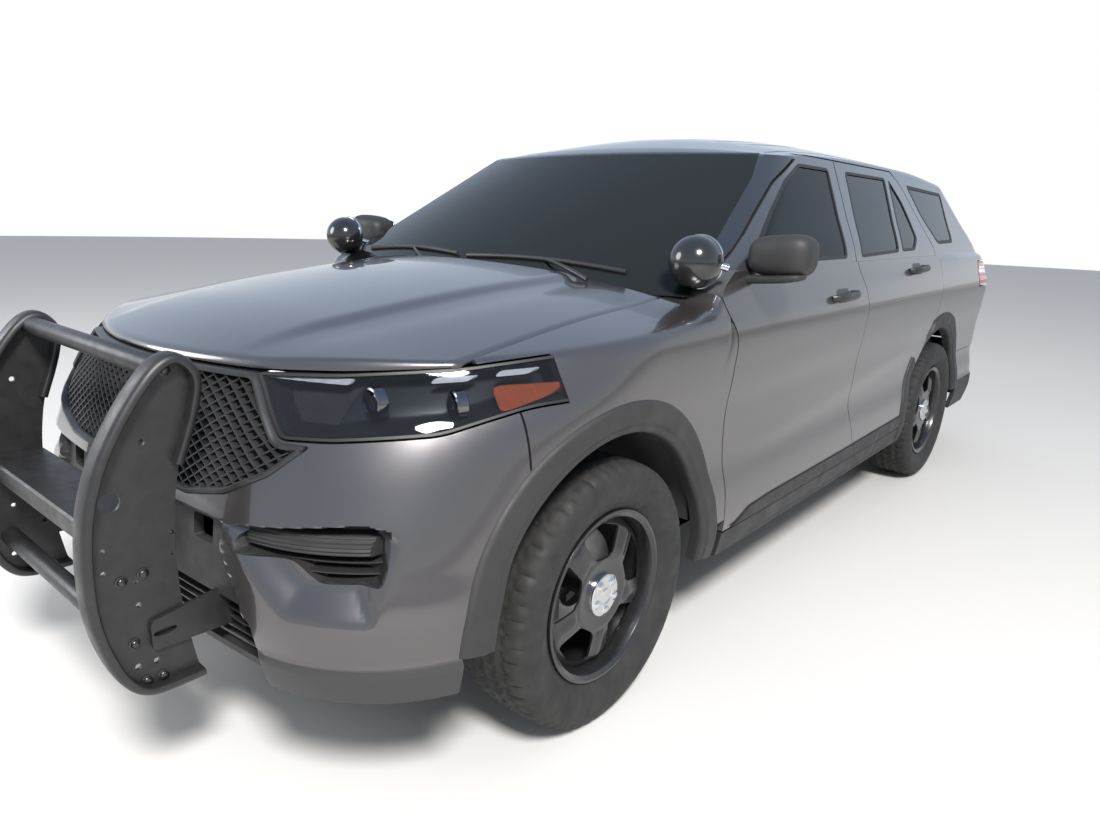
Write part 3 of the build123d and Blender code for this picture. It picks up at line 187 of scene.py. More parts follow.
def finish_of(name, base, metal=0.0, rough=0.5, coat=0.0, coat_rough=0.03, grain=None, tones=None, wear=None,
              **sockets):
    """A procedural finish. grain = (scale, detail, strength, distance) of the bump; tones = (scale, amount) of
    slow colour change; wear = (scale, low, high) of the roughness."""
    made = bpy.data.materials.new(name)
    add, feed = nodes_of(made)
    shader = add("BsdfPrincipled", Base_Color=(*base, 1), Metallic=metal, Roughness=rough, Coat_Weight=coat,
                 Coat_Roughness=coat_rough, **sockets)
    add("OutputMaterial", shader)
    place = add("TexCoord").outputs["Object"]

    def noise(scale, detail):
        return add("TexNoise", Vector=place, Scale=scale, Detail=detail, Roughness=0.5)

    if tones:
        ramp = add("ValToRGB", noise(tones[0], 4))
        dark, light = ramp.color_ramp.elements[0], ramp.color_ramp.elements[1]
        dark.position, light.position = 0.3, 0.7
        dark.color = (*[c * (1 - tones[1]) for c in base], 1)
        light.color = (*[min(c * (1 + tones[1]), 1) for c in base], 1)
        feed(shader.inputs["Base Color"], ramp)
    if wear:
        feed(shader.inputs["Roughness"], add("MapRange", noise(wear[0], 5), 0.3, 0.7, *wear[1:]))
    if grain:
        feed(shader.inputs["Normal"],
             add("Bump", Height=noise(grain[0], grain[1]), Strength=grain[2], Distance=grain[3]))
    FINISH[name] = made


finish_of("grey_paint", (0.092, 0.087, 0.09), metal=0.75, rough=0.3, coat=1.0, coat_rough=0.02,
          tones=(2600, 0.16), grain=(1.7, 1, 0.05, 0.02))
finish_of("black_paint", (0.012, 0.012, 0.013), rough=0.18, coat=0.6, tones=(900, 0.1))
finish_of("grained_plastic", (0.022, 0.022, 0.023), rough=0.62, grain=(900, 3, 0.25, 0.0006),
          tones=(3.0, 0.18), wear=(14, 0.5, 0.7))
finish_of("satin_plastic", (0.02, 0.02, 0.021), rough=0.36, grain=(1500, 2, 0.1, 0.0003), tones=(40, 0.15))
finish_of("powder_coat", (0.016, 0.016, 0.017), rough=0.42, grain=(520, 2, 0.3, 0.0008), tones=(30, 0.2),
          wear=(22, 0.34, 0.52))
finish_of("rubber", (0.017, 0.0168, 0.0165), rough=0.75, grain=(420, 4, 0.22, 0.0007), tones=(16, 0.3),
          wear=(30, 0.62, 0.85))
finish_of("black_steel", (0.012, 0.012, 0.013), rough=0.3, coat=0.4, coat_rough=0.12,
          grain=(120, 3, 0.06, 0.0006), tones=(60, 0.25))
finish_of("bare_steel", (0.3, 0.3, 0.3), metal=1.0, rough=0.4, grain=(160, 4, 0.1, 0.0008), tones=(20, 0.2))
finish_of("cast_metal", (0.07, 0.068, 0.066), metal=0.5, rough=0.6, grain=(200, 4, 0.3, 0.001),
          tones=(18, 0.3))
finish_of("underseal", (0.03, 0.03, 0.031), rough=0.8, grain=(90, 4, 0.3, 0.002), tones=(9, 0.3))
finish_of("chrome", (0.62, 0.62, 0.63), metal=1.0, rough=0.06, tones=(50, 0.04))
# The silver chin strip's colour is darkened nearly to black: painted shade for the shadow under the bumper.
finish_of("silver_in_painted_shade", (0.05, 0.05, 0.052), metal=0.4, rough=0.42, tones=(2200, 0.12))
finish_of("seat_cloth", (0.1, 0.1, 0.105), rough=0.9, grain=(700, 3, 0.5, 0.001), tones=(500, 0.3))
finish_of("cabin_plastic", (0.055, 0.055, 0.058), rough=0.6, grain=(800, 3, 0.3, 0.0006), tones=(5, 0.15))
finish_of("amber_lens", (0.45, 0.09, 0.02), rough=0.12, coat=0.8, grain=(160, 0, 0.15, 0.001),
          tones=(50, 0.1))
finish_of("red_lens", (0.28, 0.012, 0.015), rough=0.1, coat=1.0, grain=(140, 0, 0.12, 0.001), tones=(50, 0.1))


def glass_of(name, tone, clear):
    """Thin glass: a tinted see-through layer under a mirror layer weighted by the glancing angle."""
    made = bpy.data.materials.new(name)
    add, _ = nodes_of(made)
    through = add("BsdfTransparent", (*[c * clear for c in tone], 1))
    mirror = add("BsdfPrincipled", Base_Color=(*[0.02 * c for c in tone], 1), Roughness=0.03, Coat_Weight=1.0)
    share = add("Math", add("Fresnel", IOR=1.5), 0.9, 0.14 + (0.14 if clear < 0.2 else 0.0),
                operation="MULTIPLY_ADD")
    add("OutputMaterial", add("MixShader", share, through, mirror))
    FINISH[name] = made


glass_of("windshield_glass", (0.92, 0.98, 0.96), 0.98)
glass_of("tinted_glass", (0.5, 0.55, 0.6), 0.12)
glass_of("front_door_glass", (0.7, 0.8, 0.8), 0.5)
glass_of("lens_glass", (0.95, 0.97, 1.0), 0.92)
print("finishes", len(FINISH))

# %% [markdown]
# ## CAD nodes that keep their shape
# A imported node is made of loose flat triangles. A small node group merges its doubles and shades it smooth
# between sharp edges as a live modifier, so the mesh itself stays as it was packed.

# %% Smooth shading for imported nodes
SHARP = math.radians(32)


def smoothing_group():
    """Merge by distance, shade smooth, and keep edges sharper than the limit."""
    group = bpy.data.node_groups.new("smooth_skin", "GeometryNodeTree")
    group.interface.new_socket("Geometry", in_out="INPUT", socket_type="NodeSocketGeometry")
    group.interface.new_socket("Geometry", in_out="OUTPUT", socket_type="NodeSocketGeometry")
    start = group.nodes.new("NodeGroupInput")
    end = group.nodes.new("NodeGroupOutput")
    merge = group.nodes.new("GeometryNodeMergeByDistance")
    merge.inputs["Distance"].default_value = 0.00002
    faces = group.nodes.new("GeometryNodeSetShadeSmooth")
    faces.domain = "FACE"
    edges = group.nodes.new("GeometryNodeSetShadeSmooth")
    edges.domain = "EDGE"
    angle = group.nodes.new("GeometryNodeInputMeshEdgeAngle")
    below = group.nodes.new("FunctionNodeCompare")
    below.data_type, below.operation = "FLOAT", "LESS_THAN"
    below.inputs[1].default_value = SHARP
    link = group.links.new
    link(start.outputs[0], merge.inputs["Geometry"])
    link(merge.outputs[0], faces.inputs["Geometry"])
    link(faces.outputs[0], edges.inputs["Geometry"])
    link(angle.outputs["Unsigned Angle"], below.inputs[0])
    link(below.outputs[0], edges.inputs["Shade Smooth"])
    link(edges.outputs[0], end.inputs[0])
    return group


SMOOTH = smoothing_group()


def dress(node, finish):
    """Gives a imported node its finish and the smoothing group."""
    thing = NODES[node]
    thing.data.materials.clear()
    thing.data.materials.append(FINISH[finish])
    modifier = thing.modifiers.new("smooth_skin", "NODES")
    modifier.node_group = SMOOTH


NODE_FINISH = {
    "grey_paint": ("hood", "fenders", "front_bumper", "roof", "quarter_panels", "roof_rails", "liftgate",
                   "rear_bumper", "door_front_left", "door_front_right", "door_rear_left", "door_rear_right"),
    "grained_plastic": ("arch_trims", "cowl", "mirror_left", "mirror_right"),
    "satin_plastic": ("grille", "bumper_inserts"),
    "lens_glass": ("headlamps",),
    "red_lens": ("tail_lamps",),
    "windshield_glass": ("windshield",),
    "front_door_glass": ("glass_front_left", "glass_front_right"),
    "tinted_glass": ("glass_rear_left", "glass_rear_right", "quarter_glass", "liftgate_glass"),
    "powder_coat": ("push_bar_uprights", "push_bar_crossbars"),
    "black_paint": ("spotlights",),
    "black_steel": ("rim_front_left", "rim_front_right", "rim_rear_left", "rim_rear_right"),
    "rubber": ("tyre_front_left", "tyre_front_right", "tyre_rear_left", "tyre_rear_right"),
    "cabin_plastic": ("dashboard", "steering_wheel", "pillars"),
    "seat_cloth": ("front_seats", "rear_bench"),
    "underseal": ("floor_panels", "firewall", "frame_rails", "wheelhouses", "fuel_tank", "sills"),
    "bare_steel": ("exhaust",),
    "cast_metal": ("engine_block", "driveline", "front_suspension", "rear_suspension", "knuckle_front_left",
                   "knuckle_front_right"),
}
for finish, names in NODE_FINISH.items():
    for name in names:
        dress(name, finish)

# %% [markdown]
# ## The body's surface as a function
# Sheet metal is pressed over one smooth form, and the panels are cut from it. The same can be done here: a
# table of plan outlines at ten heights gives the half width at any place, as arcs at the corners and a
# nearly straight side between them. Reading the table with a smooth curve instead of straight steps gives a
# skin with no ridges. A modelled cage with subdivision would also work, but its gaps would wander where its
# edge loops do.

# %% Tables of the body, millimetres from the front axle
# height, half width, nose, nose arc end x, its y, corner x, its y, side start y, tail shortfall
BODY_LEVELS = np.array((
    (200, 925, -790, 480, -765, 820, -615, -400, 94),
    (300, 962, -830, 520, -803, 865, -640, -390, 34),
    (430, 984, -862, 545, -836, 893, -655, -380, 0),
    (520, 979, -870, 560, -845, 890, -660, -360, 0),
    (640, 963, -868, 560, -840, 885, -625, -330, 0),
    (800, 972, -845, 530, -806, 868, -560, -220, 14),
    (930, 990, -812, 495, -758, 835, -510, -60, 29),
    (1040, 998, -782, 445, -705, 790, -430, 100, 35),
    (1130, 976, -760, 430, -672, 765, -395, 130, 62),
    (1240, 945, -740, 415, -640, 735, -365, 160, 139)), float)
# height, half width, front middle y, pillar x, pillar y, rear pillar x, rear pillar y, rear middle y
GREEN_LEVELS = np.array((
    (1150, 962, 255, 877, 412, 850, 4040, 4112),
    (1240, 945, 408, 845, 565, 822, 3965, 4038),
    (1430, 850, 735, 775, 888, 748, 3805, 3880),
    (1645, 737, 1105, 695, 1253, 668, 3632, 3702),
    (1800, 658, 1372, 638, 1517, 600, 3510, 3580)), float)
# y, height on the centre line, height at the edge
HOOD_CROWN = np.array(((-1000, 955, 880), (-790, 1042, 975), (-600, 1098, 1036), (-400, 1134, 1064),
                       (0, 1188, 1120), (430, 1232, 1162), (450, 1236, 1168), (530, 1264, 1256)), float)
ROOF_CROWN = np.array(((900, 1582, 1560), (1105, 1645, 1604), (1300, 1692, 1632), (1550, 1732, 1650),
                       (2100, 1765, 1658), (2900, 1752, 1650), (3750, 1686, 1600)), float)
HOOD_EDGE, ROOF_EDGE = 800, 720
TAIL_CORNER, TAIL_BOW, SIDE_TAPER, GREEN_TAPER = 265, 12, 18, 45
BELT = 1240


def read_rows(table, at):
    """Rows between the table's rows: a cubic through each column whose slopes never overshoot."""
    knots, values = table[:, 0], table[:, 1:]
    step = np.diff(knots)[:, None]
    rise = np.diff(values, axis=0) / step
    slope = np.zeros_like(values)
    slope[0], slope[-1] = rise[0], rise[-1]
    product = rise[:-1] * rise[1:]
    total = rise[:-1] + rise[1:]
    slope[1:-1] = np.where(product > 0, 2 * product / np.where(total == 0, 1, total), 0)
    at = np.clip(np.asarray(at, float), knots[0], knots[-1])
    spot = np.clip(np.searchsorted(knots, at, side="right") - 1, 0, len(knots) - 2)
    wide = step[:, 0][spot]
    t = ((at - knots[spot]) / wide)[..., None]
    wide = wide[..., None]
    return ((2 * t**3 - 3 * t**2 + 1) * values[spot] + (t**3 - 2 * t**2 + t) * wide * slope[spot]
            + (3 * t**2 - 2 * t**3) * values[spot + 1] + (t**3 - t**2) * wide * slope[spot + 1])


def circle_through(ax, ay, bx, by, cx, cy):
    """Centre and radius of the circle through three points."""
    d = 2 * (ax * (by - cy) + bx * (cy - ay) + cx * (ay - by))
    ux = ((ax**2 + ay**2) * (by - cy) + (bx**2 + by**2) * (cy - ay) + (cx**2 + cy**2) * (ay - by)) / d
    uy = ((ax**2 + ay**2) * (cx - bx) + (bx**2 + by**2) * (ax - cx) + (cx**2 + cy**2) * (bx - ax)) / d
    return ux, uy, np.hypot(ax - ux, ay - uy)


def root(value):
    return np.sqrt(np.maximum(value, 0))


def body_x(y, z):
    """Half width of the lower body: a corner arc, a nearly straight side and a round rear corner."""
    y, z = np.broadcast_arrays(np.asarray(y, float), np.asarray(z, float))
    half, nose, nx, ny, cx, cy, sy, short = np.moveaxis(read_rows(BODY_LEVELS, z), -1, 0)
    ux, uy, radius = circle_through(nx, ny, cx, cy, half, sy)
    fore = ux + root(radius**2 - (y - uy) ** 2)
    rear_side = half - SIDE_TAPER
    rear_y = TAIL - short - TAIL_BOW - TAIL_CORNER
    side = half - SIDE_TAPER * (y - sy) / (rear_y - sy)
    aft = rear_side - TAIL_CORNER + root(TAIL_CORNER**2 - (y - rear_y) ** 2)
    return np.where(y < sy, fore, np.where(y < rear_y, side, aft))


def green_x(y, z):
    """Half width of the glasshouse, laid out in the same way."""
    y, z = np.broadcast_arrays(np.asarray(y, float), np.asarray(z, float))
    half, fm, px, py, qx, qy, rm = np.moveaxis(read_rows(GREEN_LEVELS, z), -1, 0)
    ux, uy, radius = circle_through(px, py, px + 0.72 * (half - px), py + 70, half, py + 180)
    fore = ux + root(radius**2 - (y - uy) ** 2)
    rear_side = half - GREEN_TAPER
    side = half - GREEN_TAPER * (y - py - 180) / (qy - 360 - py)
    ux, uy, radius = circle_through(qx, qy, qx + 0.72 * (rear_side - qx), qy - 70, rear_side, qy - 180)
    aft = ux + root(radius**2 - (y - uy) ** 2)
    return np.where(y < py + 180, fore, np.where(y < qy - 180, side, aft))


def soften(function, y, z, reach):
    """The mean of the function over a short run along the car, which rounds the joins of its arcs."""
    return sum(function(y + shift, z) for shift in np.linspace(-reach, reach, 5)) / 5


def side_x(y, z):
    """Half width of the whole side, with the lower body up to the belt and the glasshouse above it."""
    low = soften(body_x, y, np.minimum(z, BELT), 30)
    return np.where(z <= BELT, low, np.minimum(soften(green_x, y, np.maximum(z, BELT), 20), low))


def nose_y(x, z):
    """Front face of the lower body: a wide nose arc, then the corner arc."""
    x, z = np.broadcast_arrays(np.abs(np.asarray(x, float)), np.asarray(z, float))
    half, nose, nx, ny, cx, cy, sy, short = np.moveaxis(read_rows(BODY_LEVELS, z), -1, 0)
    dip = ny - nose
    radius = (nx**2 + dip**2) / (2 * dip)
    mid = nose + radius - root(radius**2 - x**2)
    ux, uy, radius = circle_through(nx, ny, cx, cy, half, sy)
    return np.where(x < nx, mid, uy - root(radius**2 - (x - ux) ** 2))


def tail_y(x, z):
    """Rear face of the lower body: a wide arc, then the round corner."""
    x, z = np.broadcast_arrays(np.abs(np.asarray(x, float)), np.asarray(z, float))
    rows = read_rows(BODY_LEVELS, z)
    half, short = rows[..., 0], rows[..., 7]
    rear_x = half - SIDE_TAPER - TAIL_CORNER
    radius = (rear_x**2 + TAIL_BOW**2) / (2 * TAIL_BOW)
    mid = TAIL - short - radius + root(radius**2 - x**2)
    corner = TAIL - short - TAIL_BOW - TAIL_CORNER + root(TAIL_CORNER**2 - (x - rear_x) ** 2)
    return np.where(x < rear_x, mid, corner)


def pane_y(x, z, rear=False):
    """Windshield, or with rear the liftgate's screen: one wide arc at each height."""
    x, z = np.broadcast_arrays(np.abs(np.asarray(x, float)), np.asarray(z, float))
    half, fm, px, py, qx, qy, rm = np.moveaxis(read_rows(GREEN_LEVELS, z), -1, 0)
    edge_x, dip = (qx, rm - qy) if rear else (px, py - fm)
    radius = (edge_x**2 + dip**2) / (2 * dip)
    bow = radius - root(radius**2 - x**2)
    return rm - bow if rear else fm + bow


def crown_z(x, y, table, edge):
    """Height of a crowned panel: an arc across the car through the table's two heights."""
    middle, side = np.moveaxis(read_rows(table, y), -1, 0)
    level = side - (middle - side) * ((1080 / edge) ** 2 - 1)
    drop = middle - level
    radius = (1080**2 + drop**2) / (2 * drop)
    return middle - radius + root(radius**2 - np.asarray(x, float) ** 2)


# %% [markdown]
# ## From sheets to panels
# A panel is a thick sheet of that skin, trimmed by an outline and pierced by its openings, as a press tool
# would do it. Here the outline is a prism and the trimming is a boolean, which keeps the shut lines exact
# and leaves clean edges for a small bevel. Laying every grid out by hand to its outline would take far more
# points.

# %% Meshes, sheets and prisms


def to_frame(points):
    """Millimetres from the front axle to metres in the frame."""
    points = np.array(points, float).reshape(-1, 3)
    points[:, 1] += AXLE
    return points / 1000


def object_from(name, points, faces):
    """A new mesh object from points in millimetres and faces as lists of indices."""
    mesh = bpy.data.meshes.new(name)
    mesh.from_pydata(to_frame(points).tolist(), [], [list(map(int, face)) for face in faces])
    mesh.update()
    thing = bpy.data.objects.new(name, mesh)
    scene.collection.objects.link(thing)
    return thing


def grid_faces(rows, columns, wrap_rows=False, wrap_columns=False):
    """Quads of a grid whose points run column by column within each row."""
    index = np.arange(rows * columns).reshape(rows, columns)
    if wrap_rows:
        index = np.vstack([index, index[:1]])
    if wrap_columns:
        index = np.hstack([index, index[:, :1]])
    return np.stack([index[:-1, :-1], index[1:, :-1], index[1:, 1:], index[:-1, 1:]], -1).reshape(-1, 4)


def thick_sheet(name, outer, inner):
    """A closed shell between two grids of the same size. Faces of the outer grid look away from the inner."""
    rows, columns = outer.shape[:2]
    count = rows * columns
    top = grid_faces(rows, columns)
    index = np.arange(count).reshape(rows, columns)
    rim = np.concatenate([index[0, :-1], index[:-1, -1], index[-1, :0:-1], index[:0:-1, 0]])
    after = np.roll(rim, -1)
    sides = np.stack([rim, after, after + count, rim + count], -1)
    faces = np.concatenate([top, top[:, ::-1] + count, sides])
    thing = object_from(name, np.concatenate([outer.reshape(-1, 3), inner.reshape(-1, 3)]), faces)
    return outward(thing)


def outward(thing):
    """Turns a closed mesh's faces outwards, by the sign of its volume."""
    mesh = thing.data
    mesh.calc_loop_triangles()
    corners = np.empty(len(mesh.vertices) * 3)
    mesh.vertices.foreach_get("co", corners)
    corners = corners.reshape(-1, 3)
    triangles = np.empty(len(mesh.loop_triangles) * 3, int)
    mesh.loop_triangles.foreach_get("vertices", triangles)
    a, b, c = (corners[triangles.reshape(-1, 3)[:, k]] for k in range(3))
    if np.einsum("ij,ij->i", a, np.cross(b, c)).sum() < 0:
        mesh.flip_normals()
    return thing


def prism(name, near, far, x0, x1, axis=0):
    """A closed prism between two outlines with as many points: side view for axis 0, front view for axis 1,
    plan for axis 2."""
    count = len(near)
    lay = {0: lambda o, at: [(at, a, b) for a, b in o], 1: lambda o, at: [(a, at, b) for a, b in o],
           2: lambda o, at: [(a, b, at) for a, b in o]}[axis]
    points = lay(near, x0) + lay(far, x1)
    faces = [tuple(range(count - 1, -1, -1)), tuple(range(count, 2 * count))]
    faces += [(k, (k + 1) % count, (k + 1) % count + count, k + count) for k in range(count)]
    return outward(object_from(name, points, faces))


def applied(thing):
    """Puts the modifiers' result into the mesh."""
    graph = bpy.context.evaluated_depsgraph_get()
    made = bpy.data.meshes.new_from_object(thing.evaluated_get(graph))
    thing.modifiers.clear()
    thing.data = made
    return thing


def trimmed(thing, *steps):
    """Booleans in turn. A step is an operation with its cutter, which is deleted afterwards."""
    for operation, cutter in steps:
        modifier = thing.modifiers.new("trim", "BOOLEAN")
        modifier.operation, modifier.solver, modifier.object = operation, "MANIFOLD", cutter
        applied(thing)
        bpy.data.objects.remove(cutter)
    return thing


def edged(thing, width=2.0, angle=34, segments=2):
    """Smooth shading with a small rounded edge wherever two faces meet sharply."""
    thing.data.shade_smooth()
    thing.data.set_sharp_from_angle(angle=math.radians(angle))
    if width:
        modifier = thing.modifiers.new("edge", "BEVEL")
        modifier.width, modifier.segments = width / 1000, segments
        modifier.limit_method, modifier.angle_limit = "ANGLE", math.radians(angle)
        modifier.harden_normals = True
    return thing


def mirrored(thing, name):
    """The piece on the other side of the car, with its faces turned outwards again."""
    twin = thing.copy()
    twin.data = thing.data.copy()
    twin.name = twin.data.name = name
    scene.collection.objects.link(twin)
    twin.data.transform(Matrix.Diagonal((-1, 1, 1, 1)))
    twin.data.flip_normals()
    return twin


def kept(thing, body, finish=None, replaces=()):
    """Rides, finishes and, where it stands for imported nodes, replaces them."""
    if finish:
        thing.data.materials.clear()
        thing.data.materials.append(FINISH[finish])
    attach(thing, body)
    if replaces:
        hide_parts(*replaces)
    return thing


def split_finish(thing, finishes, choose):
    """Several finishes on one piece: choose gets the faces' centres in millimetres and gives their numbers."""
    mesh = thing.data
    mesh.materials.clear()
    for finish in finishes:
        mesh.materials.append(FINISH[finish])
    centres = np.empty(len(mesh.polygons) * 3)
    mesh.polygons.foreach_get("center", centres)
    centres = centres.reshape(-1, 3) * 1000
    centres[:, 1] -= AXLE
    mesh.polygons.foreach_set("material_index", choose(centres).astype(np.int32))
    mesh.update()
    return thing


def spaced(low, high, step):
    """Even stations from low to high, at most a step apart."""
    return np.linspace(low, high, max(int(math.ceil((high - low) / step)), 1) + 1)


def rounded(points, radius, closed=True, steps=5):
    """An outline whose corners give way to short curves."""
    points = [np.array(point, float) for point in points]
    out = []
    for k, corner in enumerate(points):
        if not closed and k in (0, len(points) - 1):
            out.append(tuple(corner))
            continue
        back, ahead = points[k - 1] - corner, points[(k + 1) % len(points)] - corner
        far, near = np.linalg.norm(back), np.linalg.norm(ahead)
        start = corner + back / far * min(radius, 0.45 * far)
        end = corner + ahead / near * min(radius, 0.45 * near)
        for t in np.linspace(0, 1, steps + 1):
            out.append(tuple((1 - t) ** 2 * start + 2 * t * (1 - t) * corner + t * t * end))
    return out


def grown(points, amount):
    """An outline moved outwards, or inwards for less than nothing, with mitred corners."""
    points = np.array(points, float)
    ahead = np.roll(points, -1, 0) - points
    ahead /= np.maximum(np.linalg.norm(ahead, axis=1), 1e-9)[:, None]
    area = (points[:, 0] * np.roll(points[:, 1], -1) - np.roll(points[:, 0], -1) * points[:, 1]).sum()
    normal = np.stack([ahead[:, 1], -ahead[:, 0]], 1) * (1 if area > 0 else -1)
    both = normal + np.roll(normal, 1, 0)
    both /= np.maximum((both**2).sum(1) / 2, 0.35)[:, None]
    return [tuple(point) for point in points + both * amount]


def straight(name, outline, low, high, axis=0):
    """A prism with the same outline at both ends."""
    return prism(name, outline, outline, low, high, axis)


def round_outline(u, v, wide, high, count=24):
    """A round or oval outline about a centre."""
    return [(u + wide * math.cos(a), v + high * math.sin(a)) for a in full_turn(count)]


def even(path, columns, soft=0.0):
    """A path of points resampled to even steps; soft rounds its corners by a running mean of that
    half length."""
    far = np.concatenate([[0], np.cumsum(np.linalg.norm(np.diff(path, axis=0), axis=1))])
    if soft:
        fine = np.linspace(0, far[-1], 800)
        dense = np.stack([np.interp(fine, far, path[:, k]) for k in range(path.shape[1])], 1)
        total = np.concatenate([np.zeros((1, dense.shape[1])), np.cumsum(dense, 0)])
        room = np.minimum(np.minimum(fine, far[-1] - fine), soft) / fine[1]
        reach = np.floor(room).astype(int)
        spot = np.arange(800)
        path = (total[spot + reach + 1] - total[spot - reach]) / (2 * reach + 1)[:, None]
        far = np.concatenate([[0], np.cumsum(np.linalg.norm(np.diff(path, axis=0), axis=1))])
    at = np.linspace(0, far[-1], columns) if np.isscalar(columns) else np.asarray(columns) * far[-1]
    return np.stack([np.interp(at, far, path[:, k]) for k in range(path.shape[1])], 1)


def plan_normals(path):
    """Outward directions, in the plane of a path that runs from the nose round to the side."""
    along = np.gradient(path, axis=0)
    normal = np.stack([along[:, 1], -along[:, 0]], 1)
    return normal / np.maximum(np.linalg.norm(normal, axis=1), 1e-9)[:, None]


def wrapped(name, front, side, turn, x0, y1, levels, columns, wall, relief=None, rear=False):
    """A thick sheet that runs from x0 across the front (or rear) face, round the corner and along the side.
    relief gives how far each point stands out of the skin."""
    outer, inner = [], []
    for z in levels:
        bend = turn(z)
        xs = np.linspace(x0, bend, 80)
        face = np.stack([xs, front(xs, z)], 1)
        ys = np.linspace(face[-1, 1], y1, 160)[1:]
        path = even(np.concatenate([face, np.stack([side(ys, z), ys], 1)]), columns, 14)
        normal = plan_normals(path) * (-1 if rear else 1)
        lift = relief(path[:, 0], path[:, 1], z) if relief else 0
        skin = path + normal * np.broadcast_to(lift, len(path))[:, None]
        back = skin - normal * wall
        outer.append(np.column_stack([skin, np.full(len(skin), z)]))
        inner.append(np.column_stack([back, np.full(len(back), z)]))
    return thick_sheet(name, np.array(outer), np.array(inner))


def shield_y(x, z, rear=False):
    """Front (or rear) face of the glasshouse with its corner arcs."""
    x, z = np.broadcast_arrays(np.abs(np.asarray(x, float)), np.asarray(z, float))
    half, fm, px, py, qx, qy, rm = np.moveaxis(read_rows(GREEN_LEVELS, z), -1, 0)
    flat = pane_y(x, z, rear)
    if rear:
        side = half - GREEN_TAPER
        ux, uy, radius = circle_through(qx, qy, qx + 0.72 * (side - qx), qy - 70, side, qy - 180)
        return np.where(x < qx, flat, uy + root(radius**2 - (x - ux) ** 2))
    ux, uy, radius = circle_through(px, py, px + 0.72 * (half - px), py + 70, half, py + 180)
    return np.where(x < px, flat, uy - root(radius**2 - (x - ux) ** 2))


def ridge(distance, above, below):
    """One on a line, falling to nothing over the two reaches: a pressed crease."""
    return np.clip(1 - np.where(distance > 0, distance / above, -distance / below), 0, 1)


def fade(value, low, high):
    """A smooth step from nothing at low to one at high."""
    t = np.clip((value - low) / (high - low), 0, 1)
    return t * t * (3 - 2 * t)


def press(y, z):
    """The two creases pressed along the side: one through the door handles, one rising over the cladding."""
    shoulder = 6 * ridge(z - (1098 + 0.031 * (y - 700)), 75, 130) * fade(y, 60, 900)
    hip = 5 * ridge(z - (640 + 0.075 * (y - 600)), 150, 60) * fade(y, 500, 1100) * (1 - fade(y, 2300, 2700))
    return shoulder + hip


def skin_x(y, z):
    """The side with its creases."""
    return side_x(y, z) + press(y, z) * (np.asarray(z) < BELT)


# %% [markdown]
# ## Outlines of the panels
# The shut lines and windows, seen from the side, from the front or from above. They match the frame's
# lines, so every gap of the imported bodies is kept, and their corners are rounded as pressed metal needs.

# %% Outlines
SIDE_SPAN = (500, 1100)     # across the car, what a cutter of the left side spans
NOSE_SPAN = (-1300, -300)   # along the car, what a cutter of the nose spans


def cut(name, outline, low=SIDE_SPAN[0], high=SIDE_SPAN[1], axis=0):
    """What trimmed takes away: a prism across the left side, or where told."""
    return "DIFFERENCE", straight(name, outline, low, high, axis)


def keep(name, outline, low=SIDE_SPAN[0], high=SIDE_SPAN[1], axis=0):
    """What trimmed keeps, in the same way."""
    return "INTERSECT", straight(name, outline, low, high, axis)


GAP = 6
DOOR_FOOT, DOOR_HEAD = 392, 1644
FRONT_LINE = [(605, DOOR_FOOT), (611, 542), (568, 787), (560, 1043), (482, 1180)]
PILLAR_LINE = [(597, 1240), (711, 1295), (840, 1365), (985, 1445), (1147, 1532), (1440, DOOR_HEAD)]
MIDDLE_LINE = [(1818, DOOR_HEAD), (1668, 1240), (1722, 1120), (1722, 640), (1805, DOOR_FOOT)]
REAR_LINE = [(2618, DOOR_HEAD), (2720, 1590), (2806, 1433), (2846, 1348), (2900, 1262), (2885, 1120),
             (2850, 950), (2850, 880), (2600, 560), (2510, DOOR_FOOT)]
FRONT_GLASS = rounded([(1400, 1608), (1215, 1540), (1026, 1440), (812, 1320), (745, 1280), (752, 1256),
                       (1578, 1256), (1716, 1608)], 26)
REAR_GLASS = rounded([(1918, 1608), (1748, 1256), (2273, 1268), (2480, 1608)], 26)
VENT_GLASS = rounded([(2535, 1608), (2330, 1270), (2534, 1272), (2640, 1327), (2645, 1410), (2622, 1504)], 24)
QUARTER_GLASS = rounded([(2820, 1590), (2880, 1440), (3000, 1296), (3318, 1300), (3490, 1572)], 34)
CLADDING = [(600, 384), (700, 400), (790, 434), (963, 441), (1307, 442), (1718, 444), (2219, 450),
            (2617, 454)]
BEVEL = 0.35


def door_prism(name, lead, trail, lead_gap, trail_gap, foot=DOOR_FOOT):
    """The space of a door. Its trailing edge leans, so that it clears the next panel as it swings."""
    lead = rounded([(y + lead_gap, max(z, foot)) for y, z in lead], 46, closed=False)
    trail = rounded([(y - trail_gap, max(z, foot)) for y, z in trail], 46, closed=False)

    def at(station):
        return lead + [(y + BEVEL * (station - float(side_x(1500, z))), z) for y, z in trail]
    return prism(name, at(560), at(1080), 560, 1080)


def front_door(name, grow=0):
    return door_prism(name, FRONT_LINE + PILLAR_LINE, MIDDLE_LINE, GAP / 2 - grow, GAP / 2 - grow)


def rear_door(name, grow=0):
    return door_prism(name, MIDDLE_LINE[::-1], REAR_LINE, GAP / 2 - grow, GAP / 2 - grow)


def wheel_space(name, radius, station):
    """A round space along the axle, to be taken away."""
    return cut(name, round_outline(station, HUB, radius, radius, 96))


# %% [markdown]
# ## Doors
# Each door is one pressed sheet over a frame: a thick lower part that holds the window winder, and a thin
# frame round the glass. The lower part carries a plastic cladding, and the sill below it the long moulded
# groove. The panes are pressed into rubber seals, which show as the black lines round each window.

# %% Doors
DOOR_LEVELS = np.concatenate([spaced(388, 1238, 18), [BELT, 1241.5], spaced(1252, 1652, 20)])


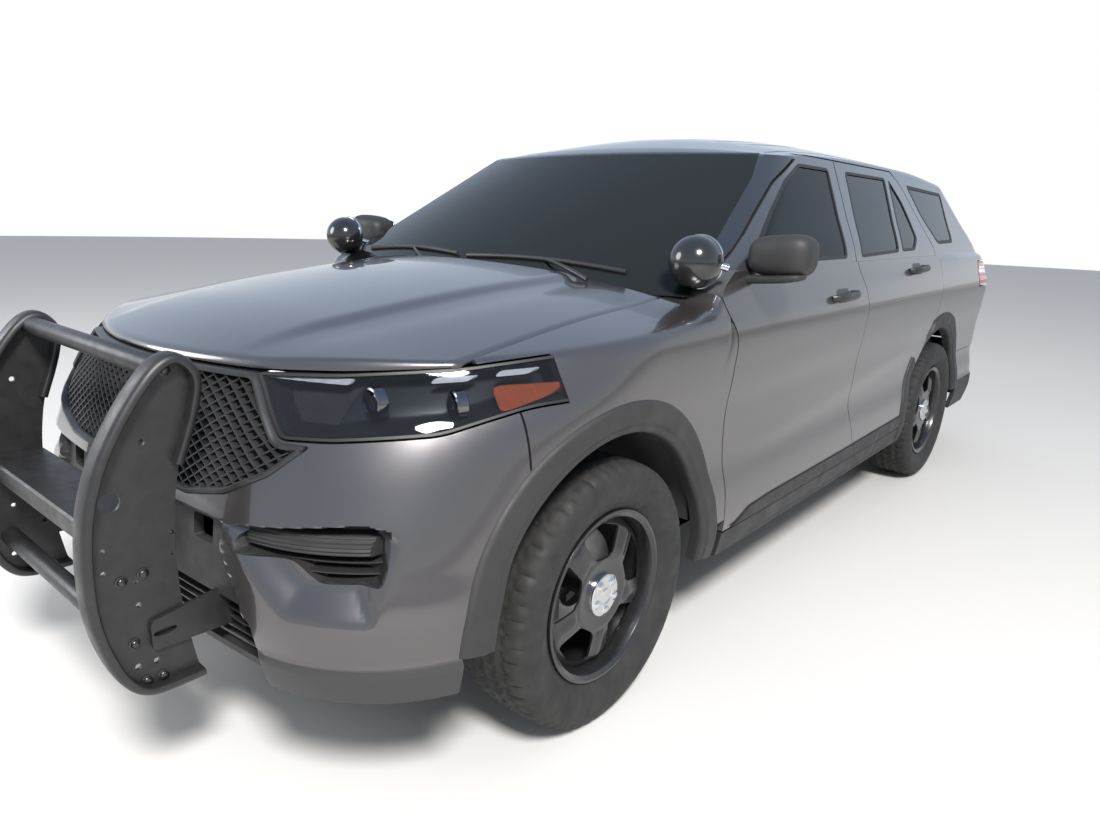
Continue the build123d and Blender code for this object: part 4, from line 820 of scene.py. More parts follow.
def sheet(name, ys, zs, wall, proud=0.0, surface=skin_x):
    """A thick sheet of the left side over the given stations and levels."""
    y, z = np.meshgrid(ys, zs, indexing="ij")
    lift = proud(y, z) if callable(proud) else proud
    x = surface(y, z) + lift
    inner = surface(y, z) - (wall(y, z) if callable(wall) else wall)
    return thick_sheet(name, np.stack([x, y, z], -1), np.stack([inner, y, z], -1))


def groove(y, z):
    """How far the plastic stands out, with the long rounded groove along the sill."""
    long = np.maximum(np.abs(y - 1580) - 735, 0)
    tall = np.abs(z - 350)
    round_off = np.hypot(long, np.maximum(tall - 12, 0)) - 22
    return 5.0 - 4.0 * np.exp(-(round_off / 4.0) ** 2) + 1.5 * (round_off > 0)


def door_set(front):
    """One door's pieces: painted sheet, cladding, seals and panes."""
    tag = "front" if front else "rear"
    zone = front_door if front else rear_door
    y0, y1 = (470, 1850) if front else (1640, 2920)
    glasses = [FRONT_GLASS] if front else [REAR_GLASS, VENT_GLASS]
    wall = lambda y, z: np.where(z <= BELT, 96, 42)
    shell = sheet(f"door_{tag}_panel", spaced(y0, y1, 28), DOOR_LEVELS, wall)
    cuts = [("INTERSECT", zone("zone"))]
    cuts += [cut("pane", glass) for glass in glasses]
    if front:
        dash = [(400, 800), (620, 800), (620, 1239), (400, 1239)]
        cuts.append(cut("dash", dash, 500, 832))
    else:
        cuts.append(wheel_space("wheel", 463, WHEELBASE))
    trimmed(shell, *cuts)
    split_finish(shell, ("grey_paint", "cabin_plastic"),
                 lambda c: (c[:, 0] < skin_x(c[:, 1], c[:, 2]) - np.where(c[:, 2] > BELT, 30, 40)))
    edged(shell, 1.6)
    pieces = [(shell, "grey_paint", None, ["door_" + tag])]
    top = [(y, z) for y, z in CLADDING]
    zone_cut = top + [(2700, 300), (560, 300)]
    cladding = sheet("cladding_" + tag, spaced(y0, y1, 22), spaced(394, 460, 6), 12, groove)
    trimmed(cladding, ("INTERSECT", zone("zone", -1)), keep("band", zone_cut),
            *([] if front else [wheel_space("wheel", 466, WHEELBASE)]))
    pieces.append((edged(cladding, 2.0), "grey_plastic", "grained_plastic", []))
    for k, glass in enumerate(glasses):
        ys, zs = [p[0] for p in glass], [p[1] for p in glass]
        stations = (spaced(min(ys) - 12, max(ys) + 12, 30), spaced(min(zs) - 10, max(zs) + 10, 24))
        pane = trimmed(sheet(f"pane_{tag}_{k}", *stations, 9, -4.0, side_x), keep("edge", grown(glass, 5)))
        node = [f"glass_{tag}"] if k == 0 else []
        pieces.append((edged(pane, 0), "tinted_glass", "front_door_glass" if front else "tinted_glass", node))
        seal = trimmed(sheet(f"seal_{tag}_{k}", *stations, 10, 0.8, side_x),
                       keep("edge", grown(glass, 1.5)),
                       cut("hole", grown(glass, -11)))
        pieces.append((edged(seal, 1.2), "black_plastic", "rubber_seal", []))
    return pieces


finish_of("rubber_seal", (0.008, 0.008, 0.008), rough=0.5, grain=(300, 2, 0.05, 0.0004), tones=(30, 0.2))


def on_both(pieces, body):
    """The pieces on the left, and their mirror images on the right with the right body and nodes."""
    for thing, slot, finish, nodes in pieces:
        twin = mirrored(thing, thing.name + "_right")
        thing.name += "_left"
        left, right = (body + "_left", body + "_right") if body != "body" else ("body", "body")
        single = body == "body"
        kept(thing, left, finish, nodes if single else [node + "_left" for node in nodes])
        kept(twin, right, finish, () if single else [node + "_right" for node in nodes])


for is_front in (True, False):
    on_both(door_set(is_front), "door_front" if is_front else "door_rear")

# %% [markdown]
# ## Fenders
# A fender is one pressing that turns from the side over a soft shoulder on to the hood's edge. Its section
# is laid out at each station: up the side, round the shoulder and in along the crown.

# %% Fenders


def shoulder_section(y, foot, inner_x, count, soft, crown=HOOD_CROWN, edge=HOOD_EDGE, surface=skin_x):
    """Points from the foot of the side up to the crown and in to inner_x, with a soft corner."""
    zs = np.linspace(foot, 1300, 400)
    xs = surface(np.full(400, y), zs)
    under = zs < crown_z(xs, y, crown, edge)
    last = max(int(np.argmin(under)), 2) if not under.all() else 399
    across = np.linspace(xs[last - 1], inner_x, 60)
    side = np.stack([xs[:last], zs[:last]], 1)
    top = np.stack([across, crown_z(across, y, crown, edge)], 1)
    return even(np.concatenate([side, top]), count, soft)


def shoulder_sheet(name, ys, foot, inner_x, count, soft, wall):
    """A thick sheet through those sections."""
    outer, inner = [], []
    shares = np.concatenate([np.linspace(0, 0.72, count // 2, endpoint=False),
                             np.linspace(0.72, 1, count // 2)])
    for y in ys:
        path = shoulder_section(y, foot, inner_x, shares, soft)
        back = path - plan_normals(path) * wall
        outer.append(np.column_stack([path[:, 0], np.full(count, y), path[:, 1]]))
        inner.append(np.column_stack([back[:, 0], np.full(count, y), back[:, 1]]))
    return thick_sheet(name, np.array(outer), np.array(inner))


LAMP = [(452, 1028), (582, 903), (681, 905), (846, 920), (930, 966), (1010, 975), (1010, 1092), (806, 1050),
        (620, 1034)]
BUMPER_LINE = -335
FENDER = [(BUMPER_LINE + 3, 434), (BUMPER_LINE + 3, 1030), (-374, 1030), (-374, 1400), (476, 1400),
          (476, 1190)]
FENDER += [(y - 3, z) for y, z in rounded(FRONT_LINE, 46, closed=False)[::-1] if z > 434] + [(606, 434)]
fender = shoulder_sheet("fender", spaced(-380, 640, 22), 425, 806, 64, 26, 22)
trimmed(fender, keep("zone", FENDER),
        cut("lamp", grown(rounded(LAMP, 16), 5), -1300, -208, 1),
        wheel_space("wheel", 548, 0))
edged(fender, 1.6)
on_both([(fender, "grey_paint", "grey_paint", ["fenders"])], "body")

# %% [markdown]
# ## Hood
# The hood is one grid. Its plan follows the nose and the cowl, its height the crown of the body, and a
# power bulge with two creases rises along the middle. The rim rolls down so that the metal's edge never
# shows.

# %% Hood


def bulge(x, y):
    """The raised middle of the hood, and the shallow trough beside it."""
    half = 345 + 120 * np.clip((y + 700) / 1000, 0, 1)
    side = np.abs(x)
    ends = fade(y, -760, -430)
    return ends * (10 * (1 - fade(side, half - 8, half + 46)) - 2.5 * np.exp(-((side - half - 95) / 60) ** 2))


across = np.concatenate([spaced(-800, -560, 12), spaced(-546, 546, 18), spaced(560, 800, 12)])
share = np.concatenate([np.linspace(0, 0.05, 8)[:-1], np.linspace(0.05, 0.95, 46),
                        np.linspace(0.95, 1, 8)[1:]])
rear_radius = (800**2 + 133**2) / (2 * 133)
first_y = nose_y(across, 1045) + 1
last_y = 335 + rear_radius - root(rear_radius**2 - across**2)
u, s = np.meshgrid(np.arange(len(across)), share, indexing="ij")
x = across[u]
y = first_y[u] + (last_y - first_y)[u] * s
z = crown_z(x, y, HOOD_CROWN, HOOD_EDGE) + bulge(x, y)
lip = np.interp(np.abs(x), (0, 452, 620, 800), (1036, 1038, 1044, 1056))
from_front = y - first_y[u]
roll = np.clip(1 - from_front / 22, 0, 1)
z = z - (z - lip) * np.where(roll > 0, 1 - root(1 - roll**2), 0)
z = z - 5 * np.clip(1 - (800 - np.abs(x)) / 10, 0, 1) ** 2 - 4 * np.clip(1 - (last_y[u] - y) / 10, 0, 1) ** 2
under = z - np.clip(4 + np.minimum(from_front, np.minimum(last_y[u] - y, 800 - np.abs(x))) * 0.8, 4, 22)
hood = thick_sheet("hood_panel", np.stack([x, y, z], -1), np.stack([x, y, under], -1))
kept(edged(hood, 0, 50), "hood", "grey_paint", ["hood"])

# %% [markdown]
# ## Front bumper
# The bumper skin wraps round the corner. Everything pressed into it is a relief on one fine grid: the
# hollow round each fog vent with the ledge below it, the middle panel and the lip that carries the grille.

# %% Front bumper
VENT_HOLLOW = [(486, 712), (795, 746), (836, 732), (858, 700), (860, 640), (858, 530), (678, 531), (542, 646)]
VENT = [(532, 690), (578, 716), (715, 731), (806, 729), (836, 706), (851, 655), (849, 616), (800, 611),
        (721, 608), (660, 650), (536, 655)]
INTAKE = [(480, 512), (587, 505), (600, 425), (560, 372)]
GRILLE = [(450, 1026), (580, 897), (652, 893), (592, 827), (484, 770), (341, 740)]


def inside(x, z, outline, ramps):
    """How far a point is up the ramps inside an outline: nothing outside, one past every ramp's width."""
    depth = np.ones(np.shape(x))
    points = np.array(outline, float)
    area = (points[:, 0] * np.roll(points[:, 1], -1) - np.roll(points[:, 0], -1) * points[:, 1]).sum()
    for k, ramp in enumerate(ramps):
        a, b = points[k], points[(k + 1) % len(points)]
        nx, nz = (b - a)[1], -(b - a)[0]
        size = math.hypot(nx, nz) * (-1 if area > 0 else 1)
        far = ((x - a[0]) * nx + (z - a[1]) * nz) / size
        depth = np.minimum(depth, np.clip(far / ramp, 0, 1))
    return depth


def within(x, z, outline):
    """Which points lie inside an outline, by counting crossings."""
    points = np.array(outline, float)
    count = np.zeros(np.shape(x), int)
    for (ax, az), (bx, bz) in zip(points, np.roll(points, -1, 0)):
        if az == bz:
            continue
        across = (z >= min(az, bz)) & (z < max(az, bz))
        count += across & (x < ax + (z - az) * (bx - ax) / (bz - az))
    return count % 2 == 1


def depth_in(x, z, outline, ramp):
    """How far inside an outline points are: nothing on its edge, one past the ramp."""
    x = np.asarray(x, float)
    z = np.broadcast_to(z, x.shape)
    far = np.full(x.shape, 1e9)
    points = np.array(outline, float)
    for a, b in zip(points, np.roll(points, -1, 0)):
        way = b - a
        t = np.clip(((x - a[0]) * way[0] + (z - a[1]) * way[1]) / (way**2).sum(), 0, 1)
        far = np.minimum(far, np.hypot(x - a[0] - t * way[0], z - a[1] - t * way[1]))
    return np.clip(far / ramp, 0, 1) * within(x, z, outline)


def bumper_relief(x, y, z):
    """Pressed depth of the bumper skin, outwards positive."""
    z = np.full(np.shape(x), z)
    hollow = inside(x, z, VENT_HOLLOW, (12, 12, 14, 16, 46, 80, 80, 26))
    depth = -40 * hollow * hollow * (3 - 2 * hollow)
    edge = np.interp(z, (420, 560, 652, 745), (600, 540, 486, 500))
    middle = (1 - fade(x, edge - 14, edge)) * (1 - fade(z, 700, 712))
    depth -= 26 * middle
    chin = (1 - fade(z, 428, 436)) * fade(x, 590, 620)
    return depth + 9 * chin


def corner_levels(column):
    return lambda z: float(read_rows(BODY_LEVELS, z)[column])


skin = wrapped("front_bumper_panel", nose_y, skin_x, corner_levels(4), 0.0, BUMPER_LINE - 3,
               np.concatenate([spaced(348, 592, 11), spaced(596, 757, 4.2), spaced(770, 1040, 15)]), 112, 24,
               bumper_relief)
lip_cut = [(0, 1300), (1100, 1300), (1100, 1024), (452, 1024), (0, 1024)]
trimmed(skin, cut("lamp", grown(rounded(LAMP, 16), 5), -1300, -208, 1),
        cut("vent", rounded(VENT, 14), *NOSE_SPAN, 1),
        cut("top", lip_cut, -1300, 0, 1),
        cut("grille", [(-10, 1060)] + rounded(GRILLE, 14, closed=False) + [(-10, 740)], *NOSE_SPAN, 1),
        cut("intake", [(-10, 512)] + rounded(INTAKE, 20, closed=False) + [(-10, 372)], *NOSE_SPAN, 1),
        cut("hook", rounded([(337, 692), (418, 692), (418, 631), (337, 631)], 8), *NOSE_SPAN, 1),
        wheel_space("wheel", 548, 0))


def bumper_slot(centres):
    """Which finish a face takes: the silver corner at the foot, darkened as painted shade, the plastic middle,
    or paint.
    """
    x, z = np.abs(centres[:, 0]), centres[:, 2]
    middle = (x < np.interp(z, (420, 560, 652, 745), (600, 540, 486, 500)) - 6) & (z < 706)
    return np.where((x > 596) & (z < 434), 2, np.where(middle, 1, 0))


split_finish(skin, ("grey_paint", "grained_plastic", "silver_in_painted_shade"), bumper_slot)
edged(skin, 1.6)
on_both([(skin, "grey_paint", None, ["front_bumper"])], "body")
print("front panels done")

# %% [markdown]
# ## Roof
# The roof is a height field. At each place it is the lower of the crown and the leaning side, windshield or
# rear of the glasshouse, joined by a soft minimum, so the edge turns over in one even radius all round. Six
# shallow ribs and a drip groove on each side are pressed into it.

# %% Roof


def house_top(x, y):
    """Height at which the glasshouse's leaning walls pass through a place, found by halving."""
    low, high = np.full(np.shape(x), 1500.0), np.full(np.shape(x), 1800.0)
    for _ in range(18):
        mid = (low + high) / 2
        indoors = ((np.abs(x) < green_x(y, mid)) & (y > shield_y(x, mid)) & (y < shield_y(x, mid, True)))
        low, high = np.where(indoors, mid, low), np.where(indoors, high, mid)
    return low


def roof_z(x, y):
    """The lower of crown and walls, with a soft join."""
    crown, wall, reach = crown_z(x, y, ROOF_CROWN, ROOF_EDGE), house_top(x, y), 34
    share = np.clip(0.5 + 0.5 * (wall - crown) / reach, 0, 1)
    return wall * (1 - share) + crown * share - reach * share * (1 - share) * 0.5


GATE_FRONT = 3575
xs = np.concatenate([spaced(0, 150, 30), spaced(158, 222, 8), spaced(236, 290, 27), spaced(298, 362, 8),
                     spaced(376, 430, 27), spaced(438, 502, 8), spaced(515, 636, 24), spaced(640, 668, 3.5),
                     spaced(674, 750, 7)])
xs = np.concatenate([-xs[:0:-1], xs])
ys = np.concatenate([spaced(1080, 1300, 14), spaced(1320, 3560, 64)])
x, y = np.meshgrid(xs, ys, indexing="ij")
z = roof_z(x, y) - 0.5
ribs = sum(np.clip(1.5 - np.abs(np.abs(x) - rib) / 20, 0, 1) for rib in (190, 330, 470))
z = z - 5 * ribs * fade(y, 1480, 1560) * (1 - fade(y, 3240, 3320))
z = z - 7 * np.clip(1.8 - np.abs(np.abs(x) - 654) / 5, 0, 1) * fade(y, 1300, 1380)
roof = thick_sheet("roof_panel", np.stack([x, y, z], -1), np.stack([x, y, z - 26], -1))
SIDE_TOP = [(1050, 1631), (1400, 1631), (1440, 1650), (2618, 1650), (2900, 1640), (3569, 1594)]
trimmed(roof, keep("zone", SIDE_TOP + [(3569, 1900), (1050, 1900)], -900, 900))
finish_of("headliner", (0.2, 0.2, 0.2), rough=0.9, grain=(500, 3, 0.3, 0.0006), tones=(6, 0.1))
split_finish(roof, ("grey_paint", "headliner"), lambda c: c[:, 2] < roof_z(c[:, 0], c[:, 1]) - 14)
kept(edged(roof, 0, 40), "body", None, ["roof"])

# %% [markdown]
# ## Windshield pillars, sills and quarter panels
# The windshield pillar is glossy black. The quarter panel is one sheet that turns from the side round the
# rear corner to the gate, with its window let in flush.

# %% Windshield pillars, sills and quarter panels
WINDSHIELD = [(862, 1206), (842, 1255), (809, 1325), (768, 1438), (730, 1543), (680, 1628)]


def green_corner(rear):
    """The x at which a glasshouse corner turns from the end face to the side."""
    def turn(z):
        half, fm, px, py, qx, qy, rm = (float(v) for v in read_rows(GREEN_LEVELS, z))
        return qx + 0.72 * (half - GREEN_TAPER - qx) if rear else px + 0.72 * (half - px)
    return turn


def clear_of_doors(name):
    """What the doors sweep out, grown by the gap, as a cutter."""
    lead = rounded([(y - (16 if z >= 1180 else 6), z + (6 if z == DOOR_HEAD else 0))
                    for y, z in FRONT_LINE + PILLAR_LINE], 46, closed=False)
    trail = rounded([(y + (6 if z > BELT else 3), z + (6 if z == DOOR_HEAD else 0)) for y, z in REAR_LINE],
                    46, closed=False)

    def at(station):
        return lead + [(y + BEVEL * (station - float(side_x(1500, z))), z) for y, z in trail]
    return "DIFFERENCE", prism(name, at(500), at(1100), *SIDE_SPAN)


pillar = wrapped("pillar", shield_y, green_x, green_corner(False), 560, 1700, spaced(1186, 1640, 9), 90, 40)
shield_zone = WINDSHIELD + [(640, 1660), (300, 1660), (300, 1150), (882, 1150)]
trimmed(pillar, cut("glass", shield_zone, 0, 1700, 1),
        clear_of_doors("doors"),
        keep("zone", [(300, 1196), (1500, 1196), (1500, 1631), (300, 1631)]))
split_finish(pillar, ("black_paint", "cabin_plastic"), lambda c: c[:, 0] < green_x(c[:, 1], c[:, 2]) - 300)
on_both([(edged(pillar, 1.6), "black_gloss", "black_paint", ["roof_rails"])], "body")

sill = sheet("sill", spaced(600, 2600, 25), spaced(300, 386, 4), 60, lambda y, z: groove(y, z) - 4.5)
trimmed(sill, wheel_space("front", 470, 0), wheel_space("rear", 470, WHEELBASE))
on_both([(edged(sill, 3), "grey_paint", "grained_plastic", ["sills"])], "body")


def rear_face(x, z):
    """The rear of the whole body, gate height and below."""
    low = tail_y(x, np.minimum(z, BELT))
    return np.where(np.asarray(z) <= BELT, low, np.minimum(shield_y(x, np.maximum(z, BELT), True), low))


def rear_turn(z):
    if z > BELT:
        return green_corner(True)(z)
    return float(read_rows(BODY_LEVELS, z)[0]) - SIDE_TAPER - 0.293 * TAIL_CORNER


quarter = wrapped("quarter", rear_face, skin_x, rear_turn, 651, 2440, spaced(560, 1660, 22), 80, 30,
                  rear=True)
lamp_gap = [(3695, 1040), (4400, 1040), (4400, 1195), (3695, 1195)]
trimmed(quarter, clear_of_doors("doors"),
        wheel_space("wheel", 548, WHEELBASE),
        cut("lamp", rounded(lamp_gap, 12)),
        cut("glass", QUARTER_GLASS),
        cut("low", [(3300, 500), (4400, 500), (4400, 660), (3300, 660)]),
        cut("inner", [(2000, 500), (2480, 500), (2480, 1700), (2000, 1700)]),
        keep("zone", SIDE_TOP[2:] + [(3569, 1594), (4400, 1560), (4400, 400), (1440, 400)]))
split_finish(quarter, ("grey_paint", "cabin_plastic"),
             lambda c: c[:, 0] < np.minimum(skin_x(c[:, 1], c[:, 2]) - 16, 1200) * (c[:, 1] < 3500))
on_both([(edged(quarter, 1.6), "grey_paint", None, ["quarter_panels"])], "body")
stations = (spaced(2800, 3510, 30), spaced(1284, 1604, 24))
pane = trimmed(sheet("quarter_pane", *stations, 9, -2.0, side_x), keep("edge", grown(QUARTER_GLASS, 4)))
seal = trimmed(sheet("quarter_seal", *stations, 10, 0.8, side_x),
               keep("edge", grown(QUARTER_GLASS, 1)),
               cut("hole", grown(QUARTER_GLASS, -16)))
on_both([(edged(pane, 0), "tinted_glass", "tinted_glass", ["quarter_glass"]),
         (edged(seal, 1), "black_plastic", "rubber_seal", [])],
        "body")

# %% [markdown]
# ## Wheel arch trims
# The trims are grained plastic strips with a stepped lip that turns into the arch. One profile runs round
# each wheel. The rear door carries its own stretch of the rear trim, so the ring is cut along the door's
# edge.

# %% Wheel arch trims
TRIM_PROFILE = ((462, -34), (463, -8), (467, 2), (488, 4), (492, 9), (545, 9), (552, 7), (556, -2))


def trim_ring(name, station, low, high):
    """A left trim between two angles, as a thick strip over the skin."""
    radius, proud = np.array(TRIM_PROFILE, float).T
    at = np.linspace(0, 1, 22)
    far = np.concatenate([[0], np.cumsum(np.hypot(np.diff(radius), np.diff(proud)))])
    radius, proud = np.interp(at * far[-1], far, radius), np.interp(at * far[-1], far, proud)
    a = np.radians(spaced(low, high, 2.4))
    y = station + np.cos(a)[:, None] * radius
    z = HUB + np.sin(a)[:, None] * radius
    x = side_x(y, z)
    return thick_sheet(name, np.stack([x + proud, y, z], -1),
                       np.stack([x + np.minimum(proud - 7, -9), y, z], -1))


front_trim = edged(trim_ring("trim_front", 0, -6, 174), 1.2, 50)
rear_trim = trim_ring("trim_rear", WHEELBASE, 6, 186)
door_trim = trim_ring("trim_door", WHEELBASE, 140, 186)
trimmed(rear_trim, clear_of_doors("doors"))
trimmed(door_trim, ("INTERSECT", rear_door("zone")))
on_both([(front_trim, "black_plastic", "grained_plastic", ["arch_trims"]),
         (edged(rear_trim, 1.2, 50), "black_plastic", "grained_plastic", [])], "body")
on_both([(edged(door_trim, 1.2, 50), "black_plastic", "grained_plastic", [])], "door_rear")

# %% [markdown]
# ## Liftgate and rear bumper
# The gate's section is laid out from its foot up the rear, over a small spoiler and forward to the hinge
# line.

# %% Liftgate and rear bumper


def gate_section(x, count):
    """Points up the rear face, over the spoiler and in along the roof, at one distance from the middle."""
    zs = np.linspace(658, 1760, 500)
    ys = rear_face(x, zs)
    ys = ys + 46 * np.exp(-((zs - 1655) / 34) ** 2) * fade(zs, 1580, 1640)
    under = zs < roof_z(np.full(500, x), np.minimum(ys, 3640))
    last = max(int(np.argmin(under)), 2)
    back = np.linspace(ys[last - 1], GATE_FRONT, 50)
    top = roof_z(np.full(50, x), np.minimum(back, 3560))
    top = np.minimum(top, zs[last - 1] + (ys[last - 1] - back) * 0.16 + 2)
    return even(np.concatenate([np.stack([ys[:last], zs[:last]], 1), np.stack([back, top], 1)]), count, 22)


outer, inner = [], []
for x in spaced(-645, 645, 30):
    path = gate_section(abs(x), 80)
    back = path - plan_normals(path) * 34
    outer.append(np.column_stack([np.full(80, x), path]))
    inner.append(np.column_stack([np.full(80, x), back]))
SCREEN = rounded([(596, 1290), (556, 1585), (-556, 1585), (-596, 1290)], 45)
PLATE = rounded([(270, 960), (270, 1130), (-270, 1130), (-270, 960)], 20)
gate = thick_sheet("gate_panel", np.array(outer), np.array(inner))
trimmed(gate, cut("glass", SCREEN, 3500, 4300, 1))
plate_face = straight("plate", PLATE, 4120, 4300, 1)
trimmed(gate, ("DIFFERENCE", plate_face))
split_finish(gate, ("grey_paint", "cabin_plastic"),
             lambda c: (c[:, 1] < rear_face(c[:, 0], c[:, 2]) - 12) & (c[:, 2] < 1560) & (c[:, 2] > 670))
kept(edged(gate, 1.6), "liftgate", None, ["liftgate"])
x, z = np.meshgrid(spaced(-606, 606, 30), spaced(1280, 1595, 24), indexing="ij")
y = rear_face(x, z)
pane = thick_sheet("gate_pane", np.stack([x, y - 3, z], -1), np.stack([x, y - 8, z], -1))
trimmed(pane, keep("edge", grown(SCREEN, 5), 3500, 4300, 1))
kept(edged(pane, 0), "liftgate", "tinted_glass", ["liftgate_glass"])

rear_skin = wrapped("rear_bumper_panel", tail_y, skin_x, rear_turn, -0.0, 3500,
                    spaced(300, 653, 13), 90, 24,
                    lambda x, y, z: -6.0 * (z > 480) - 14 * (1 - fade(x, 430, 450)) * (z > 520) * (z < 620),
                    rear=True)
trimmed(rear_skin, wheel_space("wheel", 548, WHEELBASE))
split_finish(rear_skin, ("grey_paint", "grained_plastic"), lambda c: c[:, 2] < 478)
on_both([(edged(rear_skin, 1.6), "grey_paint", None, ["rear_bumper"])], "body")

# %% [markdown]
# ## Tyres
# One section of rubber is carried round the wheel. The tread is relief on that grid: five ribs between four
# deep grooves, cut across by slanting sipes, with shoulder blocks that reach over the edge. A modelled
# block repeated round the wheel would show the same form, but relief keeps the casing closed.

# %% Tyres
TYRE_PROFILE = ((88, 232), (97, 249), (108, 262), (121, 284), (127, 310), (126, 334), (121, 352), (112, 366),
                (100, 374), (80, 378), (50, 380.4), (0, HUB))


def tyre_grid(turns, count):
    """Points (x, r, angle) of a tyre's outer surface with its tread pressed in."""
    half = np.array(TYRE_PROFILE, float)
    path = np.concatenate([half * (-1, 1), half[-2::-1]])
    path = even(path, count, 5)
    x, r = path[:, 0], path[:, 1]
    a = full_turn(turns)
    X, A = np.meshgrid(x, a)
    R = np.tile(r, (turns, 1))
    arc = A * HUB
    sunk = np.zeros_like(R)
    for middle, wide in ((-62, 9), (-22, 10), (22, 10), (62, 9)):
        zig = middle + 3.0 * np.sign(np.sin(arc / HUB * 62))
        sunk = np.maximum(sunk, 8 * np.clip(1.6 - np.abs(X - zig) / (wide / 2), 0, 1))
    for low, high, lean, wide, deep, number in ((24, 60, 0.5, 4.5, 5, 62), (-60, -24, 0.5, 4.5, 5, 62),
                                                (-20, 20, -0.35, 3.0, 4, 62), (64, 128, 0.12, 8, 7, 62),
                                                (-128, -64, 0.12, 8, 7, 62)):
        pitch = 2 * math.pi * HUB / number
        off = np.abs((arc + X * lean) % pitch - pitch / 2)
        span = (X > low) & (X < high) & (R > 355)
        sunk = np.maximum(sunk, deep * np.clip(1.5 - off / (wide / 2), 0, 1) * span)
    R = R - sunk
    wall = (R < 350) & (R > 262)
    R = R + 0.9 * wall * (np.abs((R - 262) % 44 - 22) < 1.6)
    X = X + np.sign(X) * 0.5 * wall * (np.sin(A * 300) > 0) * (R > 322) * (R < 336)
    return X, R, A


def turned_thing(name, centre, X, R, A):
    """A surface of revolution, closed round the axle and round its profile."""
    turns, count = X.shape
    points = np.stack([centre[0] + X, centre[1] + R * np.cos(A), centre[2] + R * np.sin(A)], -1)
    faces = grid_faces(turns, count, True, True)
    return outward(object_from(name, points.reshape(-1, 3), faces))


def ring_of(name, centre, profile, turns, soft=0.0, count=None):
    """A closed profile (x, r) turned about the axle."""
    path = np.array(profile, float)
    if count:
        path = even(np.concatenate([path, path[:1]]), count + 1, soft)[:-1]
    a = full_turn(turns)
    X, A = np.meshgrid(path[:, 0], a)
    return turned_thing(name, centre, X, np.tile(path[:, 1], (turns, 1)), A)


X, R, A = tyre_grid(225, 50)
back = np.linspace(1, -1, 9)
BX, BA = np.meshgrid(np.where(np.abs(back) < 0.9, back * 108, back * 86), A[:, 0])
BR = np.tile(np.where(np.abs(back) < 0.9, 350 - 40 * np.abs(back) ** 3, 240), (len(A), 1))
WHEELS = {"front_left": (851, 0), "front_right": (-851, 0), "rear_left": (851, WHEELBASE),
          "rear_right": (-851, WHEELBASE)}
for place, (wx, wy) in WHEELS.items():
    tyre = turned_thing("tyre_skin_" + place, (wx, wy, HUB), np.hstack([X, BX]), np.hstack([R, BR]),
                        np.hstack([A, BA]))
    tyre.data.shade_smooth()
    tyre.data.set_sharp_from_angle(angle=math.radians(38))
    kept(tyre, "wheel_" + place, "rubber", ["tyre_" + place])

# %% [markdown]
# ## Wheels
# A pressed steel disc with five windows sits in a rolled barrel. The disc's relief is worked out in polar
# coordinates: a raised ring round the hub, a rib on each spoke and a lip turned in at every window.

# %% Wheels


def disc_face(r, a):
    """How far the disc's face stands out at a radius and an angle from the first window."""
    base = np.interp(r, (58, 80, 104, 122, 160, 196, 212, 222), (84, 85, 88, 86, 80, 74, 62, 52))
    turn = (a + math.pi / 5) % (2 * math.pi / 5) - math.pi / 5
    spoke = np.abs(np.abs(turn) - math.pi / 5) * r
    rib = 9 * np.exp(-(spoke / 20) ** 2) * fade(r, 106, 134) * (1 - fade(r, 186, 206))
    return base + rib - 2.5 * np.exp(-((r - 112) / 5) ** 2)


def window_outline(turn, grow=0.0):
    """One rounded window between two spokes."""
    return rounded([(r * math.cos(turn + a), r * math.sin(turn + a)) for r, a in
                    ((112 - grow, -0.33), (196 + grow, -0.43), (206 + grow, 0.0), (196 + grow, 0.43),
                     (112 - grow, 0.33))], 17)


